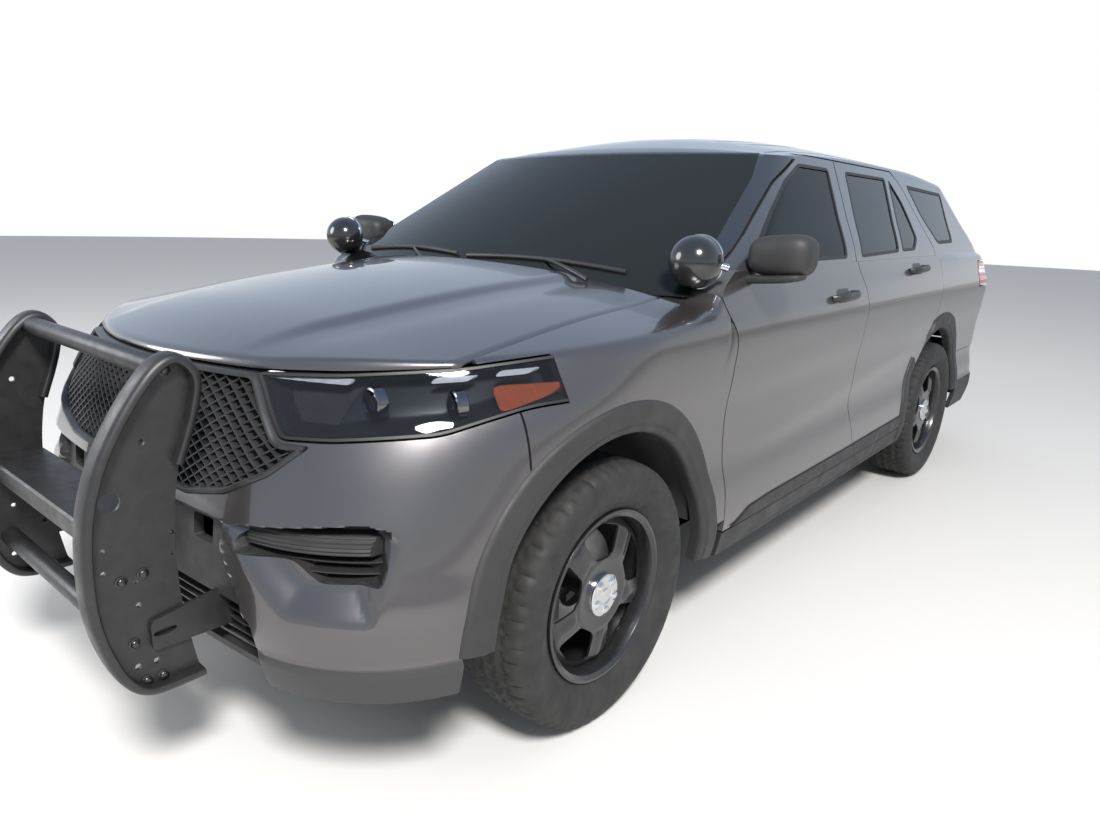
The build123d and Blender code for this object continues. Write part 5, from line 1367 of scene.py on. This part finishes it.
BARREL = ((-106, 229), (-106, 246), (-98, 246), (-94, 231), (-70, 228), (-58, 224), (20, 224), (44, 227),
          (88, 229), (94, 233), (98, 246), (106, 246), (107, 238), (100, 226), (84, 220), (50, 218),
          (24, 216), (-56, 216), (-74, 219), (-98, 222))
r = spaced(40, 224, 8)
a = full_turn(130)
for place, (wx, wy) in WHEELS.items():
    side = 1 if wx > 0 else -1
    Rr, Aa = np.meshgrid(r, a)
    face = disc_face(Rr, Aa - math.pi / 2)
    outer = np.stack([wx + side * face, wy + Rr * np.cos(Aa), HUB + Rr * np.sin(Aa)], -1)
    inner = outer - (side * 7, 0, 0)
    ring = np.hstack([outer, inner[:, ::-1]])
    disc = outward(object_from("wheel_disc_" + place, ring.reshape(-1, 3),
                               grid_faces(len(a), 2 * len(r), True, True)))
    for k in range(5):
        hole = [(wy + u, HUB + v) for u, v in window_outline(math.pi / 2 + k * 2 * math.pi / 5)]
        trimmed(disc, cut("window", hole, wx - 200, wx + 200))
    kept(edged(disc, 2.2, 40), "wheel_" + place, "black_steel", ["rim_" + place])
    barrel = ring_of("barrel_" + place, (wx, wy, HUB), [(side * px, pr) for px, pr in BARREL], 128)
    kept(edged(barrel, 0.8, 30), "wheel_" + place, "black_steel")
    brake = ring_of("brake_disc_" + place, (wx, wy, HUB), [(side * px, pr) for px, pr in
                    ((-39, 70), (-39, 164), (-37, 165), (-15, 165), (-13, 164), (-13, 70))], 96)
    kept(edged(brake, 0.5, 30), "wheel_" + place, "bare_steel")
    cr = np.concatenate([spaced(1, 58, 3.2), [60, 61.5, 62, 62]])
    Rr, Aa = np.meshgrid(cr, full_turn(100))
    lift = np.interp(Rr, (0, 30, 56, 60, 61.5, 62), (101, 100, 97, 95, 91, 84))
    for k in range(5):
        t = math.pi / 2 + math.pi / 5 + k * 2 * math.pi / 5
        far = np.hypot(Rr * np.cos(Aa) - 43 * math.cos(t), Rr * np.sin(Aa) - 43 * math.sin(t))
        lift = lift + 7 * root(1 - (far / 12.5) ** 2)
    lift[:, -1] = 80
    lift = lift - 3 * np.exp(-((Rr - 22) / 2.2) ** 2)
    outer = np.stack([wx + side * lift, wy + Rr * np.cos(Aa), HUB + Rr * np.sin(Aa)], -1)
    inner = np.stack([np.full(Rr.shape, wx + side * 78.0), outer[..., 1], outer[..., 2]], -1)
    ring = np.hstack([outer, inner[:, ::-1]])
    cap = outward(object_from("hub_cap_" + place, ring.reshape(-1, 3),
                              grid_faces(100, 2 * len(cr), True, True)))
    kept(edged(cap, 0, 34), "wheel_" + place, "chrome")

# %% [markdown]
# ## Headlamps
# A clear lens follows the corner of the body. Behind it sits a dark bowl with two projectors, two small
# clear lamps under the upper edge and an amber lamp at the outer end. The lens is its own sheet, so that
# light passes through it as it does through the real one.

# %% Headlamps
finish_of("clear_lamp", (0.75, 0.77, 0.8), rough=0.15, coat=1.0, grain=(260, 0, 0.2, 0.001), tones=(60, 0.08))
finish_of("lamp_bowl", (0.02, 0.02, 0.022), rough=0.28, coat=0.3, grain=(300, 2, 0.05, 0.0004),
          tones=(30, 0.2))


def nose_wrap(name, low, high, step, wall, relief, outline, y1=-205, columns=170, x0=300):
    """A stretch of the nose skin inside a front-view outline."""
    thing = wrapped(name, nose_y, skin_x, corner_levels(4), x0, y1, spaced(low, high, step),
                    columns, wall, relief)
    return trimmed(thing, keep("outline", outline, -1300, y1 - 3, 1))


def at_nose(x, z, back):
    """A place behind the nose skin."""
    return (x, float(nose_y(x, z)) + back, z)


def spun(name, centre, profile, turns=40, lean=0.0):
    """A profile (depth, radius) turned about an axis that points back, swung outwards by lean."""
    depth, radius = np.array(profile, float).T
    a = full_turn(turns)
    D, A = np.meshgrid(depth, a)
    R = np.tile(np.maximum(radius, 0.05), (turns, 1))
    across, along = R * np.cos(A), D
    x = centre[0] + across * math.cos(lean) - along * math.sin(lean)
    y = centre[1] + along * math.cos(lean) + across * math.sin(lean)
    z = centre[2] + R * np.sin(A)
    faces = grid_faces(turns, len(depth), True, True)
    return outward(object_from(name, np.stack([x, y, z], -1).reshape(-1, 3), faces))


lamp_edge = rounded(LAMP, 16)
lens = nose_wrap("lamp_lens", 890, 1100, 8, 4, lambda x, y, z: -1.0 + 0 * x, lamp_edge)
bowl = nose_wrap("lamp_bowl", 890, 1100, 5, 8, lambda x, y, z: -8 - 52 * fade(depth_in(x, z, LAMP, 26), 0, 1),
                 lamp_edge)
seal = nose_wrap("lamp_seal", 890, 1100, 6, 10, lambda x, y, z: 0.4 + 0 * x, lamp_edge)
trimmed(seal, cut("hole", grown(lamp_edge, -6), -1300, -200, 1))
pieces = [(edged(lens, 1.0), "clear_lens", "lens_glass", ["headlamps"]), (edged(bowl, 0), "black_plastic",
                                                                         "lamp_bowl", []),
          (edged(seal, 1.0), "black_plastic", "rubber_seal", [])]
for k, (x, z, size, lean) in enumerate(((696, 976, 35, 0.1), (822, 975, 31, 0.3))):
    spot = at_nose(x, z, 26)
    ring = spun(f"lamp_ring_{k}", spot,
                ((-2, size - 7), (-6, size - 3), (-4, size + 1), (20, size + 2), (22, size),
                 (22, size - 9)), 48, -lean)
    dome = [(12 - 14 * math.cos(t), (size - 8) * math.sin(t)) for t in np.linspace(0.02, math.pi / 2, 9)]
    eye = spun(f"lamp_eye_{k}", spot, dome + [(16, size - 8), (16, 0.1)], 40, -lean)
    pieces += [(edged(ring, 0, 40), "bare_steel", "dark_chrome", []), (edged(eye, 0, 60), "clear_lens",
                                                                       "projector", [])]
finish_of("dark_chrome", (0.16, 0.16, 0.17), metal=1.0, rough=0.16, tones=(60, 0.1))
finish_of("projector", (0.03, 0.035, 0.045), rough=0.04, coat=1.0, tones=(60, 0.1))
for k, (x0, x1, z0, z1, back) in enumerate(((764, 815, 1016, 1028, 12), (846, 886, 1028, 1041, 10))):
    strip = nose_wrap(f"lamp_strip_{k}", z0 - 4, z1 + 5, 2.5, 7, lambda x, y, z, back=back: -back + 0 * x,
                      rounded([(x0, z0), (x1, z0 + 4), (x1 + 4, z1 + 4), (x0 + 2, z1)], 6))
    pieces.append((edged(strip, 1.2), "clear_lens", "clear_lamp", []))
brow = nose_wrap("lamp_brow", 1000, 1045, 4, 6, lambda x, y, z: -9 + 0.8 * np.sin(x / 5),
                 rounded([(462, 1018), (468, 1031), (640, 1024), (640, 1011)], 5))
pieces.append((edged(brow, 1.0), "clear_lens", "clear_lamp", []))
amber = nose_wrap("lamp_amber", 925, 1010, 4, 6, lambda x, y, z: -12 + 0.4 * np.sin(y / 2.6),
                  rounded([(852, 1008), (930, 1022), (930, 984), (893, 955)], 12), columns=240)
pieces.append((edged(amber, 0.8), "clear_lens", "amber_lens", []))
on_both(pieces, "body")

# %% [markdown]
# ## Grille, vents and intake
# The grille is a moulded diamond mesh. Each bar of the lattice is laid along the nose skin from one edge of
# the opening to the other, so the cells keep their shape round the curve. One tile repeated by an array
# would have to be bent and trimmed afterwards.

# %% Grille, vents and intake
GRILLE_FULL = rounded([(x, z) for x, z in GRILLE] + [(-x, z) for x, z in GRILLE[::-1]], 14)


def swept(name, runs, sections, closed=False):
    """Closed tubes: each run is a path of points, each section gives the ring of offsets at every point."""
    points, faces, start = [], [], 0
    for path, ring in zip(runs, sections):
        rows, size = len(path), ring.shape[1]
        points.append((path[:, None, :] + ring).reshape(-1, 3))
        quads = grid_faces(rows, size, closed, True) + start
        faces += quads.tolist()
        if not closed:
            faces += [list(range(start, start + size)),
                      list(range(start + rows * size - 1, start + (rows - 1) * size - 1, -1))]
        start += rows * size
    return outward(object_from(name, np.concatenate(points), faces))


def lattice(outline, pitch, slope, wide, deep, back):
    """Slanted bars over an outline, as paths on the nose skin with flat sections."""
    runs, sections = [], []
    edge = np.array(outline)
    for sign in (1, -1):
        reach = (edge[:, 1] - edge[:, 1].min()).max() / slope + 2 * edge[:, 0].max()
        for start in np.arange(-reach, reach, pitch):
            x = np.linspace(-700, 700, 500)
            z = 730 + sign * slope * (x - start)
            held = within(x, z, outline)
            for part in np.split(np.arange(500), np.where(np.diff(held.astype(int)) != 0)[0] + 1):
                if not held[part[0]] or len(part) < 4:
                    continue
                spots = np.unique(np.linspace(part[0], part[-1], max(len(part) // 12, 2)).astype(int))
                px, pz = x[spots], z[spots]
                path = np.stack([px, nose_y(px, pz) + back, pz], 1)
                side = np.array((-sign * slope, 0, 1.0)) / math.hypot(1, slope) * wide / 2
                depth = np.array((0, 1.0, 0)) * deep / 2
                ring = np.stack([-side * 0.6 - depth, side * 0.6 - depth, side, side + depth, -side + depth,
                                 -side])
                runs.append(path)
                sections.append(np.tile(ring, (len(path), 1, 1)))
    return runs, sections


def rim_path(outline, back, wide, deep, name, finish):
    """A rounded frame round a front-view outline."""
    edge = even(np.array(list(outline) + [outline[0]]), 260)[:-1]
    path = np.stack([edge[:, 0], nose_y(edge[:, 0], edge[:, 1]) + back, edge[:, 1]], 1)
    ahead = np.roll(edge, -1, 0) - np.roll(edge, 1, 0)
    normal = np.stack([ahead[:, 1], -ahead[:, 0]], 1) / np.linalg.norm(ahead, axis=1)[:, None]
    t = full_turn(10)
    a, b = np.sign(np.cos(t)) * np.abs(np.cos(t)) ** 0.6, np.sign(np.sin(t)) * np.abs(np.sin(t)) ** 0.6
    ring = np.stack([normal[:, :1] * a * wide / 2, np.tile(b * deep / 2, (len(path), 1)),
                     normal[:, 1:] * a * wide / 2], -1)
    return kept(edged(swept(name, [path], [ring], True), 0, 50), "body", finish)


mesh_bars = swept("grille_mesh", *lattice(grown(GRILLE_FULL, -6), 40, 0.66, 6.5, 14, 16))
kept(edged(mesh_bars, 0), "body", "satin_plastic", ["grille"])
rim_path(grown(GRILLE_FULL, -8), 10, 16, 34, "grille_rim", "satin_plastic")
x, z = np.meshgrid(spaced(-640, 640, 20), spaced(735, 1024, 16), indexing="ij")
y = nose_y(x, z) + 64 + 3 * np.sin(z / 3.2)
screen = thick_sheet("radiator", np.stack([x, y, z], -1), np.stack([x, y + 10, z], -1))
kept(edged(screen, 0), "body", "underseal")
swell = np.array((0.93, 1, 1))
oval = np.stack([np.outer(swell * 60, np.cos(full_turn(64))), np.zeros((3, 64)),
                 np.outer(swell * 25, np.sin(full_turn(64)))], -1)
badge = swept("blank_badge",
              [np.stack([np.zeros(3), nose_y(0, 919) + np.array((-2.0, 4, 16)), np.full(3, 919.0)], 1)],
              [oval])
kept(edged(badge, 0, 30), "body", "black_paint")


def slat(name, z, high, out, x0, x1, deep=22, ribs=0.0):
    """A rounded blade along the nose skin between two stations, mirrored to both sides."""
    def relief(x, y, level):
        share = (level - z) / (high / 2)
        return out - 10 * (1 - root(1 - share * share)) + ribs * math.cos((level - z) * 2 * math.pi / 9)
    low, top = z - high / 2, z + high / 2
    blade = wrapped(name, nose_y, skin_x, corner_levels(4), 0.0, BUMPER_LINE - 3,
                    spaced(low + 0.4, top - 0.4, 2.6), 150, deep, relief)
    zone = [(x0, low - 20), (x1, low - 20), (x1, top + 20), (x0, top + 20)]
    return edged(trimmed(blade, keep("zone", zone, -1300, -100, 1)), 1.2)


hole = grown(VENT, 4)
bowl = nose_wrap("vent_bowl", 600, 745, 5, 8,
                 lambda x, y, z: bumper_relief(x, y, z) - 5 - 42 * fade(depth_in(x, z, VENT, 9), 0, 1),
                 hole, BUMPER_LINE - 3)
pieces = [(edged(bowl, 1.0), "black_plastic", "satin_plastic", ["bumper_inserts"]),
          (slat("vent_blade", 692, 44, -26, 545, 800, 30, 1.8), "black_plastic", "grained_plastic", []),
          (slat("vent_fin_high", 652, 8, -50, 610, 836, 30), "black_plastic", "satin_plastic", []),
          (slat("vent_fin_low", 630, 8, -46, 672, 836, 30), "black_plastic", "satin_plastic", [])]
for k, z in enumerate((391, 418, 445, 472, 499)):
    pieces.append((slat(f"intake_slat_{k}", z, 9, -40, 0.0, 575 + 4 * k, 40), "black_plastic",
                   "satin_plastic", []))
on_both(pieces, "body")
x, z = np.meshgrid(spaced(-640, 640, 40), spaced(345, 700, 24), indexing="ij")
y = nose_y(x, z) + 110
kept(edged(thick_sheet("intake_back", np.stack([x, y, z], -1), np.stack([x, y + 6, z], -1)), 0), "body",
     "underseal")

# %% [markdown]
# ## Push bar
# Each upright is a flat plate with a rolled steel channel bent round its front. The channel is a rounded
# section carried along the outline, which is how the real one is rolled; a bevelled prism would have had
# flat flanks. The plate keeps its bare round holes, and the tubes pass through to bolts with domed heads.

# %% Push bar
UPRIGHT = [(-873, 1097), (-930, 1078), (-997, 997), (-1058, 896), (-1095, 790), (-1108, 688), (-1110, 567),
           (-1093, 471), (-1060, 376), (-1008, 321), (-864, 323), (-876, 336), (-901, 495), (-906, 585),
           (-904, 716), (-883, 843), (-841, 952), (-822, 1041)]
SMALL_HOLES = ((-962, 1010, 4), (-1058, 690, 5), (-1062, 640, 5), (-915, 690, 5), (-920, 640, 4),
               (-1000, 600, 4), (-1000, 545, 6), (-1015, 400, 7), (-975, 398, 7), (-960, 905, 7),
               (-930, 480, 6), (-1035, 790, 22))
plate_edge = rounded(UPRIGHT, 70)
band = even(np.array(rounded((UPRIGHT[15:] + UPRIGHT[:11])[:-1] + [(-880, 322)], 90, closed=False)), 150, 16)
normal = plan_normals(band)
normal *= np.sign(((band - band.mean(0)) * normal).sum())
t = full_turn(20)
a, b = np.sign(np.cos(t)) * np.abs(np.cos(t)) ** 0.45, np.sin(t)
b = np.where(b > 0, b, np.sign(b) * np.abs(b) ** 0.5)
reach = np.where(b > 0, 17.0, 6.0) * b - 17.0
ring = np.stack([np.tile(a * 33, (150, 1)), normal[:, :1] * reach, normal[:, 1:] * reach], -1)
channel = swept("push_bar_channel", [np.column_stack([np.full(150, 415.0), band])], [ring])
plate = straight("push_bar_plate", grown(plate_edge, -6), 411, 419)
for y, z, size in SMALL_HOLES:
    trimmed(plate, cut("hole", round_outline(y, z, size, size), 380, 450))
pieces = [(edged(channel, 0, 50), "black_plastic", "powder_coat", ["push_bar_uprights"]),
          (edged(plate, 1.5), "black_plastic", "powder_coat", [])]
for k, (y, z) in enumerate(((-1030, 610), (-985, 615), (-1000, 360), (-965, 358), (-900, 1052),
                            (-1017, 458))):
    head = ring_of(f"bolt_{k}", (419, y, z),
                   ((-1, 0.1), (-1, 13), (2, 13), (3, 10), (7, 8.5), (9, 5), (9.5, 0.1)), 28)
    pieces.append((edged(head, 0, 40), "bare_steel", "black_steel", []))
on_both(pieces, "body")


def tube(path, radius, name, flat=1.0, count=14, lead=(0, 0, 1)):
    """A round or oval bar along a path."""
    path = np.array(path, float)
    along = np.gradient(path, axis=0)
    along /= np.linalg.norm(along, axis=1)[:, None]
    side = np.cross(along, lead)
    side /= np.linalg.norm(side, axis=1)[:, None]
    up = np.cross(side, along)
    t = full_turn(count)
    radius = np.broadcast_to(radius, len(path))[:, None, None]
    ring = (side[:, None] * np.cos(t)[None, :, None] + up[:, None] * np.sin(t)[None, :, None] * flat) * radius
    return edged(swept(name, [path], [ring]), 0, 40)


shelf = straight("push_bar_shelf",
                 [(-1042, 645), (-1042, 660), (-1047, 668), (-1047, 694), (-1041, 700), (-912, 700),
                  (-906, 694), (-906, 645), (-912, 645), (-912, 690), (-1036, 690), (-1036, 645)], -410, 410)
kept(edged(shelf, 1.5), "body", "powder_coat", ["push_bar_crossbars"])
for name, (y, z) in {"high": (-900, 1052), "low": (-1017, 458)}.items():
    bar = ring_of("push_bar_tube_" + name, (0, y, z),
                  [(-410, 21), (-410, 23), (-408, 24), (0, 24.0), (408, 24), (410, 23), (410, 21), (0, 20)],
                  40)
    kept(edged(bar, 0, 40), "body", "powder_coat")
arm = straight("push_bar_arm", rounded([(-985, 430), (-985, 500), (-725, 540), (-725, 425)], 14), 420, 431)
for y in (-955, -760):
    trimmed(arm, cut("slot", round_outline(y, 468, 26, 8), 400, 450))
on_both([(edged(arm, 2), "black_plastic", "powder_coat", [])], "body")

# %% [markdown]
# ## Mirrors, handles and spotlights
# A mirror's shell is a row of soft square sections whose size swells and closes again, like the moulding.
# The door handles are bars that stand off the skin over a dark cup. The spotlights are parked with their
# glass turned back.

# %% Mirrors, handles and spotlights


def shell(name, stations, power=3.0, count=44):
    """A closed form through soft square sections: rows of x, y, z, half depth and half height."""
    rows = np.array(stations, float)
    t = full_turn(count)
    c = np.sign(np.cos(t)) * np.abs(np.cos(t)) ** (2 / power)
    s = np.sign(np.sin(t)) * np.abs(np.sin(t)) ** (2 / power)
    ring = np.stack([np.zeros((len(rows), count)), rows[:, 3:4] * c, rows[:, 4:5] * s], -1)
    return edged(swept(name, [rows[:, :3]], [ring]), 0, 60)


def mirror_rows(x0, x1, y, z, depth, low, high):
    """Stations of the mirror shell, fuller at its outer end."""
    rows = []
    for t in -np.cos(np.linspace(0.12, math.pi - 0.12, 30)):
        size = (1 - abs(t) ** 3.4) ** (1 / 3.0)
        rise = low + (high - low) * (t + 1) / 2
        rows.append((x0 + (x1 - x0) * (t + 1) / 2, y, z + 3 * t, depth * size, rise * size))
    return rows


finish_of("mirror_glass", (0.5, 0.52, 0.55), metal=1.0, rough=0.02, tones=(9, 0.03))
case = shell("mirror_case", mirror_rows(928, 1133.5, 735, 1289, 70, 60, 70), 3.2)
glass_edge = rounded([(952, 1243), (952, 1332), (1114, 1342), (1114, 1238)], 30)
pieces = [(case, "black_plastic", "grained_plastic", ["mirror"]),
          (edged(straight("mirror_pane", glass_edge, 801, 806.5, 1), 1), "black_gloss", "mirror_glass", []),
          (shell("mirror_arm",
                 [(900, 690, 1212, 30, 16), (940, 692, 1213, 34, 14), (1000, 698, 1216, 38, 13),
                  (1060, 700, 1222, 40, 13), (1100, 700, 1228, 36, 11), (1118, 700, 1231, 24, 7)], 3.4),
           "black_plastic", "grained_plastic", [])]
on_both(pieces, "door_front")
for tag, y0, y1, z in (("front", 1330, 1560, 1120), ("rear", 2345, 2575, 1187)):
    middle, half = (y0 + y1) / 2, (y1 - y0) / 2
    rows, path = [], []
    for s in np.linspace(-1, 1, 34):
        y = middle + half * s
        out = 34 * (1 - abs(s) ** 5) + 2
        path.append((float(skin_x(y, z)) + out, y, z + 4 * s))
    grip = tube(path, 9 * (1 - np.abs(np.linspace(-1, 1, 34)) ** 9 * 0.3), f"handle_{tag}", 1.7)
    cup_edge = rounded([(middle - 66, z - 26), (middle - 66, z + 26), (middle + 66, z + 26),
                        (middle + 66, z - 26)], 26)
    cup = trimmed(sheet(f"handle_cup_{tag}", spaced(middle - 80, middle + 80, 8), spaced(z - 32, z + 32, 4),
                        3, 0.9),
                  keep("edge", cup_edge))
    lock_at = (float(skin_x(y1 - 8, z)) + 8, y1 - 8, z)
    pad = shell(f"handle_pad_{tag}",
                [(lock_at[0] - 14, y1 - 12, z, 22, 16), (lock_at[0] + 6, y1 - 12, z, 22, 16),
                 (lock_at[0] + 12, y1 - 12, z, 17, 12)], 2.6)
    on_both([(grip, "black_plastic", "satin_plastic", []),
             (edged(cup, 0.5), "black_plastic", "satin_plastic", []),
             (pad, "black_plastic", "satin_plastic", [])], f"door_{tag}")

DOME = [(-22 - 78 * math.cos(v), 79 * math.sin(v)) for v in np.linspace(0.02, math.pi / 2, 22)]
centre = (875, 470, 1268)
dome = spun("spotlight_dome", centre,
            [(d + 22, r) for d, r in DOME] + [(24, 79), (30, 77), (30, 68), (10, 60)], 64)
rim = spun("spotlight_rim", centre, [(22, 78), (22, 81), (28, 82), (34, 80), (35, 74), (30, 72)], 64)
pane = spun("spotlight_glass", centre, [(28, 0.1), (36, 40), (32, 74), (28, 74), (24, 40), (22, 0.1)], 48)
reflector = spun("spotlight_bowl", centre,
                 [(20, 72), (0, 58), (-24, 22), (-26, 0.1), (-30, 0.1), (-28, 26), (-2, 62),
                  (18, 76)], 48)
clamp = [tube([(905, 470, 1262), (905, 520, 1256), (888, 565, 1246), (868, 600, 1236)], 11, "spotlight_post"),
         tube([(938, 486, 1300), (936, 490, 1280), (934, 494, 1262)], 12, "spotlight_knob_high"),
         tube([(930, 488, 1262), (952, 500, 1258), (968, 508, 1254)], 12, "spotlight_knob_side"),
         tube([(934, 494, 1250), (932, 498, 1236), (930, 502, 1222)], 9, "spotlight_knob_low")]
pieces = [(edged(dome, 0, 40), "black_gloss", "black_paint", ["spotlights"]),
          (edged(rim, 0, 40), "bare_steel", "chrome", []),
          (edged(pane, 0, 40), "clear_lens", "lens_glass", []),
          (edged(reflector, 0, 40), "bare_steel", "chrome", [])]
pieces += [(piece, "bare_steel", "chrome", []) for piece in clamp]
on_both(pieces, "body")

# %% [markdown]
# ## Windshield and cowl
# The screen is one bent pane. A black printed band hides its glue line, so it is a second sheet just
# inside. The wipers park on it, over a grained cowl, and the rear-view mirror hangs from its head.

# %% Windshield and cowl
SHIELD = [(0, 1150), (878, 1150), (862, 1200)] + WINDSHIELD[1:] + [(672, 1637), (0, 1641)]


def shield_sheet(name, proud, wall, low=1165, high=1640, columns=130):
    """The left half of a sheet on the screen's surface, proud of it by so much."""
    return wrapped(name, shield_y, green_x, green_corner(False), 0.0, 1700, spaced(low, high, 14), columns,
                   wall, lambda x, y, z: proud + 0 * x)


def halved(thing, outline):
    """Cuts a half sheet to a front-view outline."""
    return trimmed(thing, keep("outline", outline, 100, 1600, 1))


pane = halved(shield_sheet("windshield_pane", -1.5, 5), SHIELD)
band = halved(shield_sheet("windshield_band", -7.5, 2), SHIELD)
window = [(-40, 1262), (700, 1262), (800, 1262)] + [(x - 42, z) for x, z in WINDSHIELD[2:5]]
window += [(636, 1592), (600, 1602), (-40, 1604)]
trimmed(band, cut("window", rounded(window, 16), 100, 1700, 1))
pieces = [(edged(pane, 0), "windshield_glass", "windshield_glass", ["windshield"]),
          (edged(band, 0), "black_gloss", "black_paint", [])]
x, s = np.meshgrid(spaced(0, 868, 14), np.linspace(0, 1, 12), indexing="ij")
hood_back = 335 + rear_radius - root(rear_radius**2 - x**2) + 6
y = hood_back + (np.minimum(shield_y(x, 1200), 640) - 8 - hood_back) * s
slats = 2.2 * (np.abs((x % 26) - 13) < 5) * (s > 0.2) * (s < 0.7)
z = np.interp(s, (0, 0.1, 0.5, 1.0), (1185, 1196, 1190, 1204)) + slats
z = np.minimum(z + (1 - s) * 22 * (1 - (x / 868) ** 2), crown_z(x, y, HOOD_CROWN, HOOD_EDGE) - 4)
cowl = thick_sheet("cowl_panel", np.stack([x, y, z], -1), np.stack([x, y, z - 5], -1))
pieces.append((edged(cowl, 0.5), "black_plastic", "grained_plastic", []))
on_both(pieces, "body")
for k, (x0, x1, z0, z1, root_x) in enumerate(((-20, 640, 1236, 1222, 560), (-700, -80, 1226, 1240, -120))):
    s = np.linspace(0, 1, 30)
    bx, bz = x0 + (x1 - x0) * s, z0 + (z1 - z0) * s + 14 * np.sin(math.pi * s)
    blade = np.stack([bx, shield_y(bx, bz) - 10, bz], 1)
    kept(tube(blade, 5.5, f"wiper_blade_{k}", 1.5), "body", "satin_plastic")
    mid = blade[15]
    foot = np.array((root_x, float(shield_y(root_x, 1195)) - 40, 1196))
    arm = foot + (mid - foot) * s[:, None] + np.array((0, -14, 10)) * np.sin(math.pi * s)[:, None]
    kept(tube(arm, 7 - 3 * s, f"wiper_arm_{k}", 1.2), "body", "satin_plastic")
mirror_back = shell("inside_mirror",
                    [(x, 1105 - 8 * (1 - (x / 118) ** 2), 1545,
                      14 * (1 - abs(x / 121) ** 5), 34 * (1 - abs(x / 121) ** 4))
                     for x in np.linspace(-118, 118, 25)], 3.4)
kept(mirror_back, "body", "satin_plastic")
kept(tube([(0, 1040, 1578), (0, 1060, 1572), (0, 1085, 1556), (0, 1098, 1548)], 13, "mirror_stem"), "body",
     "satin_plastic")

# %% [markdown]
# ## Seats, gauge hood and tail lamps
# Each seat is its side outline carried across the car. It shrinks towards the ends as a stuffed cover does,
# with fuller bolsters at both sides and a seam groove between. The back bench is made in the same way.

# %% Seats, gauge hood and tail lamps
SEAT = [(0, 575), (0, 690), (60, 716), (440, 690), (620, 1190), (690, 1215), (745, 1185), (585, 660),
        (540, 575)]
HEADREST = [(640, 1195), (650, 1245), (640, 1400), (700, 1425), (752, 1395), (740, 1240), (720, 1195)]


def stuffed(name, outline, y, x0, x1, soft, bolster=0.0):
    """A cushion: a side outline carried across, shrinking at both ends."""
    edge = even(np.array(rounded([(y + a, z) for a, z in outline], 60, steps=6)
                         + rounded([(y + a, z) for a, z in outline], 60, steps=6)[:1]), 61)[:-1]
    rings = []
    half = (x1 - x0) / 2
    stations = half * np.sin(np.linspace(-math.pi / 2, math.pi / 2, 26))
    for at in stations:
        t = abs(at) / half
        past = t - 1 + soft / half
        amount = -soft * (1 - root(1 - past ** 2 / (soft / half) ** 2)) if past > 0 else 0.0
        amount += bolster * math.exp(-((t - 0.78) / 0.12) ** 2)
        amount -= 0.5 * bolster * math.exp(-((t - 0.56) / 0.04) ** 2)
        rings.append(np.array(grown(edge, amount - bolster)))
    rings = np.array(rings)
    path = np.stack([stations + (x0 + x1) / 2, np.zeros(26), np.zeros(26)], 1)
    ring = np.concatenate([np.zeros(rings.shape[:2] + (1,)), rings], -1)
    thing = edged(swept(name, [path], [ring]), 0, 60)
    return thing


seats = [(stuffed("front_seat", SEAT, 1190, 142, 638, 42, 14), "seat_cloth", "seat_cloth", ["front_seats"]),
         (stuffed("front_headrest", HEADREST, 1190, 272, 508, 40), "seat_cloth", "seat_cloth", []),
         (stuffed("rear_seat", SEAT, 1960, 6, 698, 42, 10), "seat_cloth", "seat_cloth", ["rear_bench"]),
         (stuffed("rear_headrest", HEADREST, 1960, 312, 548, 40), "seat_cloth", "seat_cloth", [])]
for thing, slot, finish, nodes in seats:
    twin = mirrored(thing, thing.name + "_right")
    thing.name += "_left"
    kept(thing, "body", finish, nodes)
    kept(twin, "body", finish)
hood_over = [(x, 690, 1108 + 26 * root(1 - ((x - 390) / 190) ** 2)) for x in np.linspace(206, 574, 24)]
kept(tube(hood_over, 12, "gauge_hood", 1.0, 14, (0, 1, 0)), "body", "cabin_plastic")
tail = wrapped("tail_lamp", rear_face, skin_x, rear_turn, 640, 3700, spaced(1042, 1188, 6), 90, 14,
               lambda x, y, z: 1.5 + 1.0 * math.cos((z - 1042) / 6), rear=True)
lamp_zone = rounded([(3704, 1048), (4400, 1048), (4400, 1188), (3704, 1188)], 16)
trimmed(tail, keep("zone", lamp_zone))
split_finish(tail, ("red_lens", "clear_lamp"), lambda c: (c[:, 2] > 1122) & (c[:, 2] < 1158))
on_both([(edged(tail, 1.5), "red_lens", None, ["tail_lamps"])], "body")
